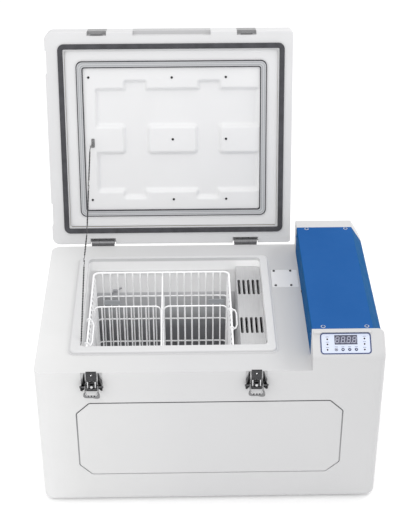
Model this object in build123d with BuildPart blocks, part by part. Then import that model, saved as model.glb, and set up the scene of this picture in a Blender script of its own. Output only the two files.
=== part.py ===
from build123d import *
import os
from math import sin, cos, tan, radians, degrees, hypot, atan2, pi

os.makedirs("parts", exist_ok=True)

# ---------------------------------------------------------------------------
# Portable compressor-cooled vaccine carrier, lid open.  Millimetres.
# The helper coordinates below count X from the left side, Y from the front
# face and Z from the floor.  XC and YC shift them so that the row's origin
# is the centre of the bounding box's bottom face.
# ---------------------------------------------------------------------------
W = 757.0            # body width
D = 505.0            # body depth
ZD = 375.0           # deck height
ZH = 445.0           # top of the machine hump
HX = 598.5           # left side of the machine hump
T = 4.0              # moulded wall
R_CORNER = 22.0      # vertical corners in plan
FOOT = 8.0           # feet below the moulded bottom

AX_Y, AX_Z = 513.7, 378.8        # lid hinge axis
OPEN = 105.3                     # lid opening angle in the rest pose
LID_X0, LID_X1 = 0.5, 588.5      # lid sides
LID_S0, LID_S1 = -3.5, 518.0     # lid back and front edge from the hinge axis
LID_H0, LID_H1 = -66.0, -1.7     # lid top and rim, from the hinge axis

COL = (72.7, 526.8, 65.4, 446.5)     # collar, outer
MOUTH = (95.0, 508.0, 85.0, 435.0)   # collar, inner: the mouth of the tub
TUB = (92.0, 511.0, 82.0, 438.0)     # liner, inner
TUB_FLOOR = 78.0

BX0, BX1, BY0, BY1 = 105.2, 433.2, 92.5, 428.5   # basket rim wire, centre line
BZ = 346.0                                        # basket rim height
BFLOOR = 84.0

CH_X = 97.0                       # plane of the lid-stay chain's first link
CH_STEP = 4.0                     # sideways step of its second link, so that the folded chain passes itself
CH_A = (91.5, 376.0)              # its lower anchor (Y, Z)
CH_L = (219.245, 82.217, 124.441, 112.96)   # the four lengths of the lid-stay chain

XC = W / 2
YC = 343.723


def X(v):
    return v - XC


def Y(v):
    return v - YC


def lid_point(x, s, h):
    """A point of the open lid: s from the hinge axis along the lid, h below it (towards the inside)."""
    a = radians(OPEN)
    return (X(x), Y(AX_Y) - s * cos(a) - h * sin(a), AX_Z + s * sin(a) - h * cos(a))


LIDP = Plane(origin=(X(0), Y(AX_Y), AX_Z), x_dir=(1, 0, 0),
             z_dir=(0, -sin(radians(OPEN)), -cos(radians(OPEN))))
LID_IN = Axis((0, 0, 0), (0, -sin(radians(OPEN)), -cos(radians(OPEN))))

SLOPE = atan2(39.0, 55.0)        # control face
SLP = Plane(origin=(X(0), Y(55), ZH), x_dir=(1, 0, 0),
            z_dir=(0, -sin(SLOPE), cos(SLOPE)))


def block(x0, x1, y0, y1, z0, z1, mode=Mode.ADD):
    """A box between two corners."""
    with Locations((X((x0 + x1) / 2), Y((y0 + y1) / 2), (z0 + z1) / 2)):
        Box(x1 - x0, y1 - y0, z1 - z0, mode=mode)


def slab(plane, x0, x1, y0, y1, h0, h1, r=0.0, mode=Mode.ADD):
    """A plate on a plane, between h0 and h1 above it, with rounded corners."""
    with BuildSketch(plane.offset(h0)) as sk:
        with Locations(((x0 + x1) / 2, (y0 + y1) / 2)):
            if r > 0:
                RectangleRounded(x1 - x0, y1 - y0, r)
            else:
                Rectangle(x1 - x0, y1 - y0)
    extrude(sk.sketch, amount=h1 - h0, mode=mode)


def plan(x0, x1, y0, y1, z0, z1, r=0.0, mode=Mode.ADD):
    """The same, seen from above."""
    slab(Plane.XY, X(x0), X(x1), Y(y0), Y(y1), z0, z1, r, mode)


def ring(plane, x0, x1, y0, y1, w, h0, h1, r, mode=Mode.ADD):
    """A rectangular ring of width w, inside its outer size."""
    with BuildSketch(plane.offset(h0)) as sk:
        with Locations(((x0 + x1) / 2, (y0 + y1) / 2)):
            RectangleRounded(x1 - x0, y1 - y0, r)
            RectangleRounded(x1 - x0 - 2 * w, y1 - y0 - 2 * w, max(r - w, 1.0), mode=Mode.SUBTRACT)
    extrude(sk.sketch, amount=h1 - h0, mode=mode)


def rod(p, q, r, mode=Mode.ADD):
    """A round bar from p to q, in helper coordinates."""
    a = Vector(X(p[0]), Y(p[1]), p[2])
    b = Vector(X(q[0]), Y(q[1]), q[2])
    with BuildSketch(Plane(origin=a, z_dir=(b - a).normalized())) as sk:
        Circle(r)
    extrude(sk.sketch, amount=(b - a).length, mode=mode)


def profile_x(points, x0, x1, mode=Mode.ADD):
    """A closed profile in Y and Z, extruded along X."""
    with BuildSketch(Plane.YZ.offset(X(x0))) as sk:
        with BuildLine():
            Polyline(*[(Y(y), z) for y, z in points], close=True)
        make_face()
    extrude(sk.sketch, amount=x1 - x0, mode=mode)


def profile_y(points, y0, y1, mode=Mode.ADD):
    """A closed profile in X and Z, extruded along Y."""
    with BuildSketch(Plane.XZ.offset(-Y(y1))) as sk:
        with BuildLine():
            Polyline(*[(X(x), z) for x, z in points], close=True)
        make_face()
    extrude(sk.sketch, amount=y1 - y0, mode=mode)


def tube(points, r, bend):
    """A bent tube: straight runs joined by arcs."""
    with BuildLine() as path:
        FilletPolyline(*[(X(x), Y(y), z) for x, y, z in points], radius=bend)
    with BuildSketch(Plane(origin=path.line @ 0, z_dir=path.line % 0)) as sk:
        Circle(r)
    sweep(sk.sketch, path=path.line)


def inset(points, d):
    """A convex outline moved inward by d."""
    out = []
    n = len(points)
    cx, cz = sum(p[0] for p in points) / n, sum(p[1] for p in points) / n
    lines = []
    for i in range(n):
        (x0, z0), (x1, z1) = points[i], points[(i + 1) % n]
        nx, nz = z1 - z0, x0 - x1
        m = hypot(nx, nz)
        nx, nz = nx / m, nz / m
        if nx * (cx - x0) + nz * (cz - z0) < 0:
            nx, nz = -nx, -nz
        lines.append((nx, nz, nx * x0 + nz * z0 + d))
    for i in range(n):
        a, b, e = lines[i - 1]
        c, f, g = lines[i]
        det = a * f - b * c
        out.append(((e * f - b * g) / det, (a * g - e * c) / det))
    return out


written = []


def keep(builder, name):
    builder.part.label = name
    export_step(builder.part, "parts/" + name + ".step")
    written.append(name)


# ===========================================================================
# Cabinet
# ===========================================================================
CHAM = [(731.0, ZH + 0.01), (757.0, 404.0), (757.0 + 6, 404.0 - 9.5), (770.0, 404.0), (770.0, ZH + 9), (731.0, ZH + 9)]
VENT_R = (160.0, 380.0, 60.0, 225.0)       # right grille: y, z
VENT_B = (630.0, 730.0, 60.0, 225.0)       # rear grille: x, z
INLET = (646.0, 706.0, 285.0, 325.0)       # power inlet plate: x, z
GRIP = (180.0, 325.0, 262.0, 306.0)        # side hand grips: y, z
GRIP_D = 26.0
PANEL = (615.0, 724.5, -57.5, -9.5)        # control fascia on the slope
OCT = [(114.9, 293.4), (641.7, 293.4), (671.5, 264.0), (671.5, 114.0), (641.0, 84.5), (113.0, 84.5), (84.8, 114.0), (84.8, 264.0)]
PLATE_Z = ZD + 0.2                         # top of the deck plate
TUBE_Y = 352.0                             # service channel under the deck plate
COVER_SCREWS = [(622.0, 463.0), (716.0, 463.0), (623.5, 63.0), (718.0, 63.0)]
PLATE_SCREWS = [(539.5, 385.5), (579.0, 385.5), (540.5, 324.5), (577.0, 324.5)]
LATCH_X = (124.0, 478.5)                   # latch centres
LATCH_Z = (370.0, 351.0, 341.5)            # their screws

with BuildPart() as cabinet_shell:
    plan(0, W, 0, D, FOOT, ZH, R_CORNER)
    fillet(cabinet_shell.faces().sort_by(Axis.Z)[0].edges(), 10.0)
    # the deck: everything left of the hump is cut down to it
    block(-5, HX, -5, D + 5, ZD, ZH + 10, Mode.SUBTRACT)
    # sloping control face
    profile_x([(-3.0, ZH - (58.0) * tan(SLOPE)), (55.0, ZH), (55.0, ZH + 8), (-3.0, ZH + 8)], HX - 2, W + 5, Mode.SUBTRACT)
    slope_face = cabinet_shell.faces().filter_by(lambda f: abs(f.normal_at().Z - cos(SLOPE)) < 1e-3 and f.center().Z > 400)[0]
    rim_edges = slope_face.edges().filter_by(lambda e: e.center().Y < Y(50) and abs(e.center().X - X(HX)) > 1)
    fillet(rim_edges, 17.0)
    # rear cap follows the cover's chamfer
    profile_y(CHAM, 470, D + 6, Mode.SUBTRACT)
    rear_top = cabinet_shell.edges().filter_by(Axis.X).filter_by(lambda e: abs(e.center().Z - ZH) < 0.1 and e.center().Y > Y(490))
    fillet(rear_top, 6.0)
    # the saddle under the blue cover
    block(HX - 1, W - T, 55, 470, ZD, ZH + 10, Mode.SUBTRACT)
    block(W - T - 1, W + 5, 55, 470, 400, ZH + 10, Mode.SUBTRACT)
    # insulated bay and machine bay
    plan(T, 594.5, T, D - T, FOOT + T, ZD - T, 18.0, Mode.SUBTRACT)
    plan(HX, W - T, T, D - T, FOOT + T, ZD - T, 18.0, Mode.SUBTRACT)
    # machine bay goes up into the hump
    block(602.5, W - T, 58, 467, ZD - T - 1, ZD + 1, Mode.SUBTRACT)
    profile_x([(T + 1, ZD - T - 1), (T + 1, 401.0), (58.0, 401.0 + 53 * tan(SLOPE)), (58.0, ZD - T - 1)], 602.5, 738, Mode.SUBTRACT)
    block(602.5, 726, 466, D - T, ZD - T - 1, ZH - T, Mode.SUBTRACT)
    # ledges that take the cover's screws
    block(602.5, 726, 44, 71, 436.5, 442.8)
    block(602.5, 724, 455, 480, 436.5, 442.8)
    # mouth of the tub, and the service channel beside it
    plan(82, 519, 73, 443, ZD - T - 1, ZD + 1, 14.0, Mode.SUBTRACT)
    plan(545, 585, TUBE_Y - 14, TUBE_Y + 14, ZD - T - 1, ZD + 1, 5.0, Mode.SUBTRACT)
    rod((590, TUBE_Y - 7, 332), (604, TUBE_Y - 7, 332), 8.0, Mode.SUBTRACT)
    # eight-sided groove in the front face
    with BuildSketch(Plane.XZ.offset(-Y(0))) as groove:
        with BuildLine():
            Polyline(*[(X(x), z) for x, z in OCT], close=True)
        make_face()
        fillet(groove.vertices(), 9)
    with BuildSketch(Plane.XZ.offset(-Y(0))) as field:
        with BuildLine():
            Polyline(*[(X(x), z) for x, z in inset(OCT, 3.0)], close=True)
        make_face()
        fillet(field.vertices(), 7)
    extrude(groove.sketch - field.sketch, amount=-2.2, mode=Mode.SUBTRACT)
    # side hand grips: pockets with their own walls
    block(1, GRIP_D + T, GRIP[0] - T, GRIP[1] + T, GRIP[2] - T, GRIP[3] + T)
    block(W - GRIP_D - T, W - 1, GRIP[0] - T, GRIP[1] + T, GRIP[2] - T, GRIP[3] + T)
    for x0, x1 in ((-2, GRIP_D), (W - GRIP_D, W + 2)):
        block(x0, x1, GRIP[0], GRIP[1], GRIP[2], GRIP[3], Mode.SUBTRACT)
    # windows for the grilles and the inlet
    block(W - T - 1, W + 1, VENT_R[0], VENT_R[1], VENT_R[2], VENT_R[3], Mode.SUBTRACT)
    block(VENT_B[0], VENT_B[1], D - T - 1, D + 1, VENT_B[2], VENT_B[3], Mode.SUBTRACT)
    block(INLET[0] + 6, INLET[1] - 6, D - T - 1, D + 1, INLET[2] + 4, INLET[3] - 4, Mode.SUBTRACT)
    # shallow seat that lets the deck plate lie flush
    plan(531.1, 595.4, 317.6, 391.4, ZD - 1.7, ZD + 1, 3.4, Mode.SUBTRACT)
    # pilot holes for the screws
    for x, y in COVER_SCREWS:
        rod((x, y, 430), (x, y, ZH + 2), 1.55, Mode.SUBTRACT)
    for x, y in PLATE_SCREWS:
        rod((x, y, 371.6), (x, y, ZD + 1), 1.55, Mode.SUBTRACT)
    for lx in LATCH_X:
        for z in LATCH_Z:
            rod((lx, -1, z), (lx, 3.3, z), 1.55, Mode.SUBTRACT)
    # seat and window of the control fascia
    slab(SLP, PANEL[0] - 0.4, PANEL[1] + 0.4, PANEL[2] - 0.4, PANEL[3] + 0.4, -1.6, 6.0, 7.9, Mode.SUBTRACT)
    slab(SLP, PANEL[0] + 8, PANEL[1] - 8, PANEL[2] + 5, PANEL[3] - 3, -14.0, 1.0, 2.0, Mode.SUBTRACT)
keep(cabinet_shell, "cabinet_shell")

with BuildPart() as cabinet_feet:
    for x, y in ((45, 45), (W - 45, 45), (45, D - 45), (W - 45, D - 45)):
        with BuildSketch(Plane.XY):
            with Locations((X(x), Y(y))):
                Circle(16)
        extrude(amount=FOOT, taper=-6)
keep(cabinet_feet, "cabinet_feet")

with BuildPart() as cabinet_insulation:
    plan(T + 0.2, 594.3, T + 0.2, D - T - 0.2, FOOT + T + 0.2, ZD - T - 0.2, 17.8)
    plan(TUB[0] - 1.8, TUB[1] + 1.8, TUB[2] - 1.8, TUB[3] + 1.8, TUB_FLOOR - 1.8, ZD + 1, 13.8, Mode.SUBTRACT)
    plan(TUB[0] - 10, TUB[1] + 10, TUB[2] - 10, TUB[3] + 10, 345.4, 347.8, 20, Mode.SUBTRACT)
    plan(MOUTH[0] - 6, MOUTH[1] + 6, MOUTH[2] - 6, MOUTH[3] + 6, 347.0, ZD + 1, 15.5, Mode.SUBTRACT)
    block(-1, GRIP_D + T + 0.3, GRIP[0] - T - 0.3, GRIP[1] + T + 0.3, GRIP[2] - T - 0.3, GRIP[3] + T + 0.3, Mode.SUBTRACT)
    block(510, 596, TUBE_Y - 16, TUBE_Y + 16, 322, ZD, Mode.SUBTRACT)
keep(cabinet_insulation, "cabinet_insulation")

with BuildPart() as liner_tub:
    plan(TUB[0] - 1.5, TUB[1] + 1.5, TUB[2] - 1.5, TUB[3] + 1.5, TUB_FLOOR - 1.5, 347.4, 13.5)
    plan(TUB[0] - 9.5, TUB[1] + 9.5, TUB[2] - 9.5, TUB[3] + 9.5, 345.9, 347.4, 19)
    plan(TUB[0], TUB[1], TUB[2], TUB[3], TUB_FLOOR, 350, 12, Mode.SUBTRACT)
    rod((509, TUBE_Y - 7, 332), (514, TUBE_Y - 7, 332), 7.0, Mode.SUBTRACT)
keep(liner_tub, "liner_tub")

with BuildPart() as opening_collar:
    plan(COL[0] - 3, COL[1] + 3, COL[2] - 3, COL[3] + 3, ZD, 376.6, 17)
    plan(COL[0], COL[1], COL[2], COL[3], ZD, 383.0, 14)
    fillet(opening_collar.faces().sort_by(Axis.Z)[-1].edges(), 4.0)
    plan(MOUTH[0] - 5.5, MOUTH[1] + 5.5, MOUTH[2] - 5.5, MOUTH[3] + 5.5, 347.5, 380.0, 15)
    plan(MOUTH[0], MOUTH[1], MOUTH[2], MOUTH[3], 340, 390, 11, Mode.SUBTRACT)
    # relief for the chain's first eye
    block(95.1, 101.0, 88.6, 98.0, 372.0, 390.0, Mode.SUBTRACT)
    # seat of the chain anchor's stud
    rod((90, CH_A[0], CH_A[1]), (96, CH_A[0], CH_A[1]), 0.9, Mode.SUBTRACT)
keep(opening_collar, "opening_collar")

with BuildPart() as machine_cover:
    profile_y([(HX, ZD + 0.2), (HX, ZH), (731, ZH), (W, 404), (W, 400.2), (W - 2, 400.2), (W - 2, 403.4),
               (730, ZH - 2), (HX + 2, ZH - 2), (HX + 2, ZD + 0.2)], 55.3, 469.7)
    corner = machine_cover.edges().filter_by(Axis.Y).filter_by(lambda e: abs(e.center().Z - ZH) < 0.1)
    fillet(corner, 1.5)
    for x, y in COVER_SCREWS:
        rod((x, y, ZH - 4), (x, y, ZH + 2), 1.8, Mode.SUBTRACT)
    for y, z in ((463.0, 424.0), (66.0, 424.0), (290.0, 381.5)):
        rod((HX - 2, y, z), (HX + 4, y, z), 1.8, Mode.SUBTRACT)
keep(machine_cover, "machine_cover")

with BuildPart() as deck_plate:
    plan(531.5, 595.0, 318, 391, ZD - 1.7, PLATE_Z, 3)
    chamfer(deck_plate.faces().sort_by(Axis.Z)[-1].edges(), 0.5)
    for x, y in PLATE_SCREWS:
        rod((x, y, ZD - 3), (x, y, ZD + 3), 1.8, Mode.SUBTRACT)
keep(deck_plate, "deck_plate")


def screw(x, y, z, d, r=3.1, shank=1.5, depth=7.0, head=1.8):
    """A pan-head screw: its head sits on (x, y, z) and points along d."""
    pl = Plane(origin=(X(x), Y(y), z), z_dir=d)
    with BuildSketch(pl) as sk:
        Circle(r)
    extrude(sk.sketch, amount=head, taper=18)
    with BuildSketch(pl) as sk:
        Circle(shank)
    extrude(sk.sketch, amount=-depth)
    slab(pl, -r * 0.62, r * 0.62, -0.35, 0.35, head - 0.8, head + 1, 0, Mode.SUBTRACT)
    slab(pl, -0.35, 0.35, -r * 0.62, r * 0.62, head - 0.8, head + 1, 0, Mode.SUBTRACT)


with BuildPart() as cabinet_screws:
    for x, y in COVER_SCREWS:
        screw(x, y, ZH, (0, 0, 1))
    for y, z in ((463.0, 424.0), (66.0, 424.0), (290.0, 381.5)):
        screw(HX, y, z, (-1, 0, 0), depth=3.6)
    for x, y in PLATE_SCREWS:
        screw(x, y, PLATE_Z, (0, 0, 1), depth=3.4)
    for lx in LATCH_X:
        for z in LATCH_Z:
            screw(lx, -1.5, z, (0, -1, 0), r=3.0, depth=4.6)
keep(cabinet_screws, "cabinet_screws")

# ===========================================================================
# Controls
# ===========================================================================
BTN_X = (648.8, 663.1, 677.4, 691.7)
BTN_V = -47.0
LED_P = [(630.3, -23.7), (630.3, -35.3), (630.0, -47.4), (710.2, -22.9), (710.0, -35.2), (709.6, -47.6)]
DISP = (645.7, 694.8, -35.9, -14.6)
with BuildPart() as control_fascia:
    slab(SLP, PANEL[0], PANEL[1], PANEL[2], PANEL[3], -1.6, 0.4, 7.5)
    slab(SLP, DISP[0], DISP[1], DISP[2], DISP[3], -3, 1, 0.8, Mode.SUBTRACT)
    for x in BTN_X:
        with BuildSketch(SLP.offset(-3)):
            with Locations((x, BTN_V)):
                Circle(3.45)
        extrude(amount=5, mode=Mode.SUBTRACT)
    for x, v in LED_P:
        with BuildSketch(SLP.offset(-3)):
            with Locations((x, v)):
                Circle(1.6)
        extrude(amount=5, mode=Mode.SUBTRACT)
keep(control_fascia, "control_fascia")

with BuildPart() as control_board:
    slab(SLP, PANEL[0] + 9, PANEL[1] - 9, PANEL[2] + 6, PANEL[3] - 4, -10.6, -9.0)
    for x in BTN_X:
        slab(SLP, x - 3, x + 3, BTN_V - 3, BTN_V + 3, -9.0, -5.4)
keep(control_board, "control_board")

with BuildPart() as display_module:
    slab(SLP, DISP[0] + 0.3, DISP[1] - 0.3, DISP[2] + 0.3, DISP[3] - 0.3, -9.0, 0.1)
keep(display_module, "display_module")

with BuildPart() as indicator_leds:
    for x, v in LED_P:
        with BuildSketch(SLP.offset(-9.0)):
            with Locations((x, v)):
                Circle(1.4)
        extrude(amount=9.9)
    fillet(indicator_leds.faces().filter_by(lambda f: f.normal_at().Z > 0.5 and f.area > 5).sort_by(Axis.Z)[-6:].edges(), 0.5)
keep(indicator_leds, "indicator_leds")

BTN_NAMES = ["button_mute", "button_set", "button_down", "button_up"]
for name, x in zip(BTN_NAMES, BTN_X):
    with BuildPart() as button:
        with BuildSketch(SLP.offset(-4.8)):
            with Locations((x, BTN_V)):
                Circle(1.8)
        extrude(amount=1.6)
        with BuildSketch(SLP.offset(-3.2)):
            with Locations((x, BTN_V)):
                Circle(4.2)
        extrude(amount=1.2)
        with BuildSketch(SLP.offset(-2.0)):
            with Locations((x, BTN_V)):
                Circle(3.2)
        extrude(amount=3.3)
        top = button.faces().sort_by(Axis((0, 0, 0), (0, -sin(SLOPE), cos(SLOPE))))[-1]
        fillet(top.edges(), 0.5)
    keep(button, name)

# ===========================================================================
# Inside the tub: duct cover, evaporator, fan, probe
# ===========================================================================
with BuildPart() as duct_cover:
    plan(450.0, 507.4, 85.6, 434.4, 355.9, 357.4, 11.5)
    block(450.0, 470.0, 85.6, 434.4, 355.9, 357.4)
    block(450.0, 451.5, 85.6, 434.4, TUB_FLOOR + 0.5, 357.4)
    for y0 in (163.5, 316.5):
        for i in range(5):
            x = 455.3 + 11.2 * i
            with BuildSketch(Plane.XY.offset(354)):
                with Locations((X(x), Y(y0 + 28.5))):
                    SlotOverall(57, 4.0, rotation=90)
            extrude(amount=5, mode=Mode.SUBTRACT)
    # return grille in front of the fan, and outlet slots near the floor
    for i in range(-4, 5):
        w = 2 * (42 ** 2 - (9 * i) ** 2) ** 0.5 if abs(9 * i) < 42 else 0
        if w > 12:
            with BuildSketch(Plane.YZ.offset(X(448))):
                with Locations((Y(300), 236 + 9 * i)):
                    SlotOverall(w, 4.5)
            extrude(amount=5, mode=Mode.SUBTRACT)
    for i in range(6):
        with BuildSketch(Plane.YZ.offset(X(448))):
            with Locations((Y(120 + 56 * i), 100)):
                SlotOverall(40, 6)
        extrude(amount=5, mode=Mode.SUBTRACT)
keep(duct_cover, "duct_cover")

with BuildPart() as evaporator:
    for i in range(13):
        block(458, 503, 100 + 10 * i, 100.8 + 10 * i, 108, 330)
    tube([(482, 90, 130), (482, 234, 130), (482, 234, 166), (482, 92, 166), (482, 92, 202), (482, 234, 202),
          (482, 234, 238), (482, 92, 238), (482, 92, 274), (482, 234, 274), (482, 234, 310), (482, 90, 310)], 4.0, 17.5)
keep(evaporator, "evaporator")

FAN_Y, FAN_Z = 300.0, 236.0
with BuildPart() as evaporator_fan_frame:
    block(453, 475, FAN_Y - 46, FAN_Y + 46, FAN_Z - 46, FAN_Z + 46)
    rod((452, FAN_Y, FAN_Z), (476, FAN_Y, FAN_Z), 43.5, Mode.SUBTRACT)
    rod((469, FAN_Y, FAN_Z), (475, FAN_Y, FAN_Z), 17)
    for a in (45, 135, 225, 315):
        with BuildSketch(Plane.YZ.offset(X(471.5))):
            with Locations(Location((Y(FAN_Y), FAN_Z), a)):
                with Locations((30, 0)):
                    Rectangle(34, 4)
        extrude(amount=3.5)
    rod((455.5, FAN_Y, FAN_Z), (470, FAN_Y, FAN_Z), 2.0)
keep(evaporator_fan_frame, "evaporator_fan_frame")

with BuildPart() as evaporator_fan_rotor:
    rod((455.0, FAN_Y, FAN_Z), (468.5, FAN_Y, FAN_Z), 16)
    for i in range(7):
        a = radians(360 / 7 * i)
        c = (461.5, FAN_Y + 28 * cos(a), FAN_Z + 28 * sin(a))
        pl = Plane(origin=(X(c[0]), Y(c[1]), c[2]), x_dir=(0, cos(a), sin(a)), z_dir=(sin(radians(50)), -sin(a) * cos(radians(50)), cos(a) * cos(radians(50))))
        with BuildSketch(pl.offset(-0.8)):
            RectangleRounded(27, 15, 4)
        extrude(amount=1.6)
    rod((454, FAN_Y, FAN_Z), (469, FAN_Y, FAN_Z), 2.05, Mode.SUBTRACT)
keep(evaporator_fan_rotor, "evaporator_fan_rotor")

with BuildPart() as temperature_probe:
    rod((140, 434.6, 277.5), (170, 434.6, 297.5), 2.2)
    block(150, 160, 433.0, 438.0, 283.5, 291.5)
keep(temperature_probe, "temperature_probe")

# ===========================================================================
# Machine bay
# ===========================================================================
MZ = FOOT + T                # inner floor of the machine bay
with BuildPart() as machine_tray:
    plan(604, 748, 12, 493, MZ, MZ + 2, 8)
    block(604, 606, 30, 475, MZ, MZ + 14)
    block(746, 748, 30, 475, MZ, MZ + 14)
    for x, y in ((628, 262), (726, 262), (628, 372), (726, 372)):
        with Locations((X(x), Y(y), MZ + 1)):
            Cylinder(3.3, 6, mode=Mode.SUBTRACT)
keep(machine_tray, "machine_tray")

with BuildPart() as compressor_grommets:
    for x, y in ((628, 262), (726, 262), (628, 372), (726, 372)):
        with BuildSketch(Plane.XY.offset(MZ + 2)):
            with Locations((X(x), Y(y))):
                Circle(9)
        extrude(amount=12)
        with BuildSketch(Plane.XY.offset(MZ)):
            with Locations((X(x), Y(y))):
                Circle(3.2)
        extrude(amount=2)
keep(compressor_grommets, "compressor_grommets")

CMP = (677.0, 317.0)
with BuildPart() as compressor:
    with BuildSketch(Plane.XZ.offset(-Y(CMP[1]))):
        with BuildLine():
            b = MZ + 22
            Polyline((X(CMP[0]), b), (X(CMP[0]) + 40, b), (X(CMP[0]) + 58, b + 16), (X(CMP[0]) + 60, b + 20))
            Polyline((X(CMP[0]) + 60, b + 20), (X(CMP[0]) + 60, b + 62), (X(CMP[0]) + 64, b + 62), (X(CMP[0]) + 64, b + 67),
                     (X(CMP[0]) + 60, b + 67), (X(CMP[0]) + 60, b + 108))
            Polyline((X(CMP[0]) + 60, b + 108), (X(CMP[0]) + 52, b + 128), (X(CMP[0]) + 30, b + 140), (X(CMP[0]), b + 142), (X(CMP[0]), b))
        make_face()
    revolve(axis=Axis((X(CMP[0]), Y(CMP[1]), 0), (0, 0, 1)))
    # foot plate on the grommets
    plan(617, 737, 251, 383, MZ + 14, MZ + 17, 10)
    with BuildSketch(Plane.XY.offset(MZ + 16)):
        with Locations((X(CMP[0]), Y(CMP[1]))):
            Circle(36)
    extrude(amount=12)
    # electronics box on the front of the can
    block(650, 704, 238, 262, 75, 135)
    rod((646, 330, 150), (646, 330, 190), 3.2)
keep(compressor, "compressor")

with BuildPart() as condenser:
    for i in range(15):
        block(614 + 9 * i, 614.8 + 9 * i, 52, 88, 40, 258)
    tube([(606, 70, 60), (748, 70, 60), (748, 70, 92), (606, 70, 92), (606, 70, 124), (748, 70, 124),
          (748, 70, 156), (606, 70, 156), (606, 70, 188), (748, 70, 188), (748, 70, 220), (606, 70, 220)], 4.0, 15.5)
keep(condenser, "condenser")

CF = (677.0, 150.0)          # condenser fan axis: x, z
with BuildPart() as condenser_fan_shroud:
    block(615, 739, 96, 98, MZ + 14.5, 230)
    block(617, 737, 98, 123, CF[1] - 60, CF[1] + 60)
    rod((CF[0], 94, CF[1]), (CF[0], 125, CF[1]), 57, Mode.SUBTRACT)
    rod((CF[0], 117, CF[1]), (CF[0], 123, CF[1]), 20)
    for a in (45, 135, 225, 315):
        with BuildSketch(Plane.XZ.offset(-Y(123))):
            with Locations(Location((X(CF[0]), CF[1]), a)):
                with Locations((38, 0)):
                    Rectangle(44, 5)
        extrude(amount=4)
    rod((CF[0], 101.5, CF[1]), (CF[0], 118, CF[1]), 2.5)
keep(condenser_fan_shroud, "condenser_fan_shroud")

with BuildPart() as condenser_fan_rotor:
    rod((CF[0], 101, CF[1]), (CF[0], 116.4, CF[1]), 19)
    for i in range(7):
        a = radians(360 / 7 * i)
        c = (CF[0] + 36 * cos(a), 108.5, CF[1] + 36 * sin(a))
        pl = Plane(origin=(X(c[0]), Y(c[1]), c[2]), x_dir=(cos(a), 0, sin(a)), z_dir=(-sin(a) * cos(radians(50)), sin(radians(50)), cos(a) * cos(radians(50))))
        with BuildSketch(pl.offset(-0.9)):
            RectangleRounded(37, 17, 5)
        extrude(amount=1.8)
    rod((CF[0], 99, CF[1]), (CF[0], 117, CF[1]), 2.55, Mode.SUBTRACT)
keep(condenser_fan_rotor, "condenser_fan_rotor")

with BuildPart() as filter_drier:
    rod((622, 420, 120), (622, 420, 200), 9)
    rod((622, 420, 108), (622, 420, 212), 3)
keep(filter_drier, "filter_drier")

with BuildPart() as refrigerant_tubes:
    # suction line from the evaporator, under the deck plate, to the compressor
    tube([(490, TUBE_Y - 7, 332), (640, TUBE_Y - 7, 332), (640, TUBE_Y - 7, 300), (646, 330, 240), (646, 330, 190.3)], 3.2, 12)
keep(refrigerant_tubes, "refrigerant_tubes")

with BuildPart() as power_supply:
    block(640, 742, 410, 486, MZ + 2.5, 50)
    for i in range(9):
        block(646 + 11 * i, 650 + 11 * i, 414, 482, 50, 56)
keep(power_supply, "power_supply")

with BuildPart() as vent_grilles:
    # right side
    block(W - 6, W - 0.4, VENT_R[0] + 0.3, VENT_R[1] - 0.3, VENT_R[2] + 0.3, VENT_R[3] - 0.3)
    n = 11
    for i in range(n):
        z = VENT_R[2] + 12 + i * (VENT_R[3] - VENT_R[2] - 24) / (n - 1)
        block(W - 8, W + 1, VENT_R[0] + 9, 264, z - 3.6, z + 3.6, Mode.SUBTRACT)
        block(W - 8, W + 1, 276, VENT_R[1] - 9, z - 3.6, z + 3.6, Mode.SUBTRACT)
    # rear
    block(VENT_B[0] + 0.3, VENT_B[1] - 0.3, D - 6, D - 0.4, VENT_B[2] + 0.3, VENT_B[3] - 0.3)
    for i in range(n):
        z = VENT_B[2] + 12 + i * (VENT_B[3] - VENT_B[2] - 24) / (n - 1)
        block(VENT_B[0] + 9, VENT_B[1] - 9, D - 8, D + 1, z - 3.6, z + 3.6, Mode.SUBTRACT)
keep(vent_grilles, "vent_grilles")

with BuildPart() as power_inlet:
    block(INLET[0], INLET[1], D, D + 2.2, INLET[2], INLET[3])
    block(INLET[0] + 6.5, INLET[1] - 6.5, D - 22, D, INLET[2] + 4.5, INLET[3] - 4.5)
    # mains inlet and low-voltage socket
    block(654, 678, D - 16, D + 4, 297, 313, Mode.SUBTRACT)
    for x, z in ((659, 303), (666, 307.5), (673, 303)):
        block(x - 1, x + 1, D - 17, D - 1, z - 2, z + 2)
    rod((689, D - 14, 305), (689, D + 4, 305), 7, Mode.SUBTRACT)
    rod((689, D - 15, 305), (689, D - 2, 305), 1.6)
keep(power_inlet, "power_inlet")

# ===========================================================================
# Latches on the front face
# ===========================================================================
P1 = (-11.0, 346.0)          # lever pivot (y, z)
P2 = (-6.5, 335.5)           # claw pivot
EAR_X, EAR_OUT, EAR_FWD = 14.3, 8.9, 12.5        # ears: where they start, and how they flare


def outline(plane, points, depth, r=0.0, both=False, mode=Mode.ADD):
    """A flat plate with the given outline on a plane."""
    with BuildSketch(plane) as sk:
        with BuildLine():
            Polyline(*points, close=True)
        make_face()
        if r:
            fillet(sk.vertices(), r)
    extrude(sk.sketch, amount=depth, both=both, mode=mode)


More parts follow.
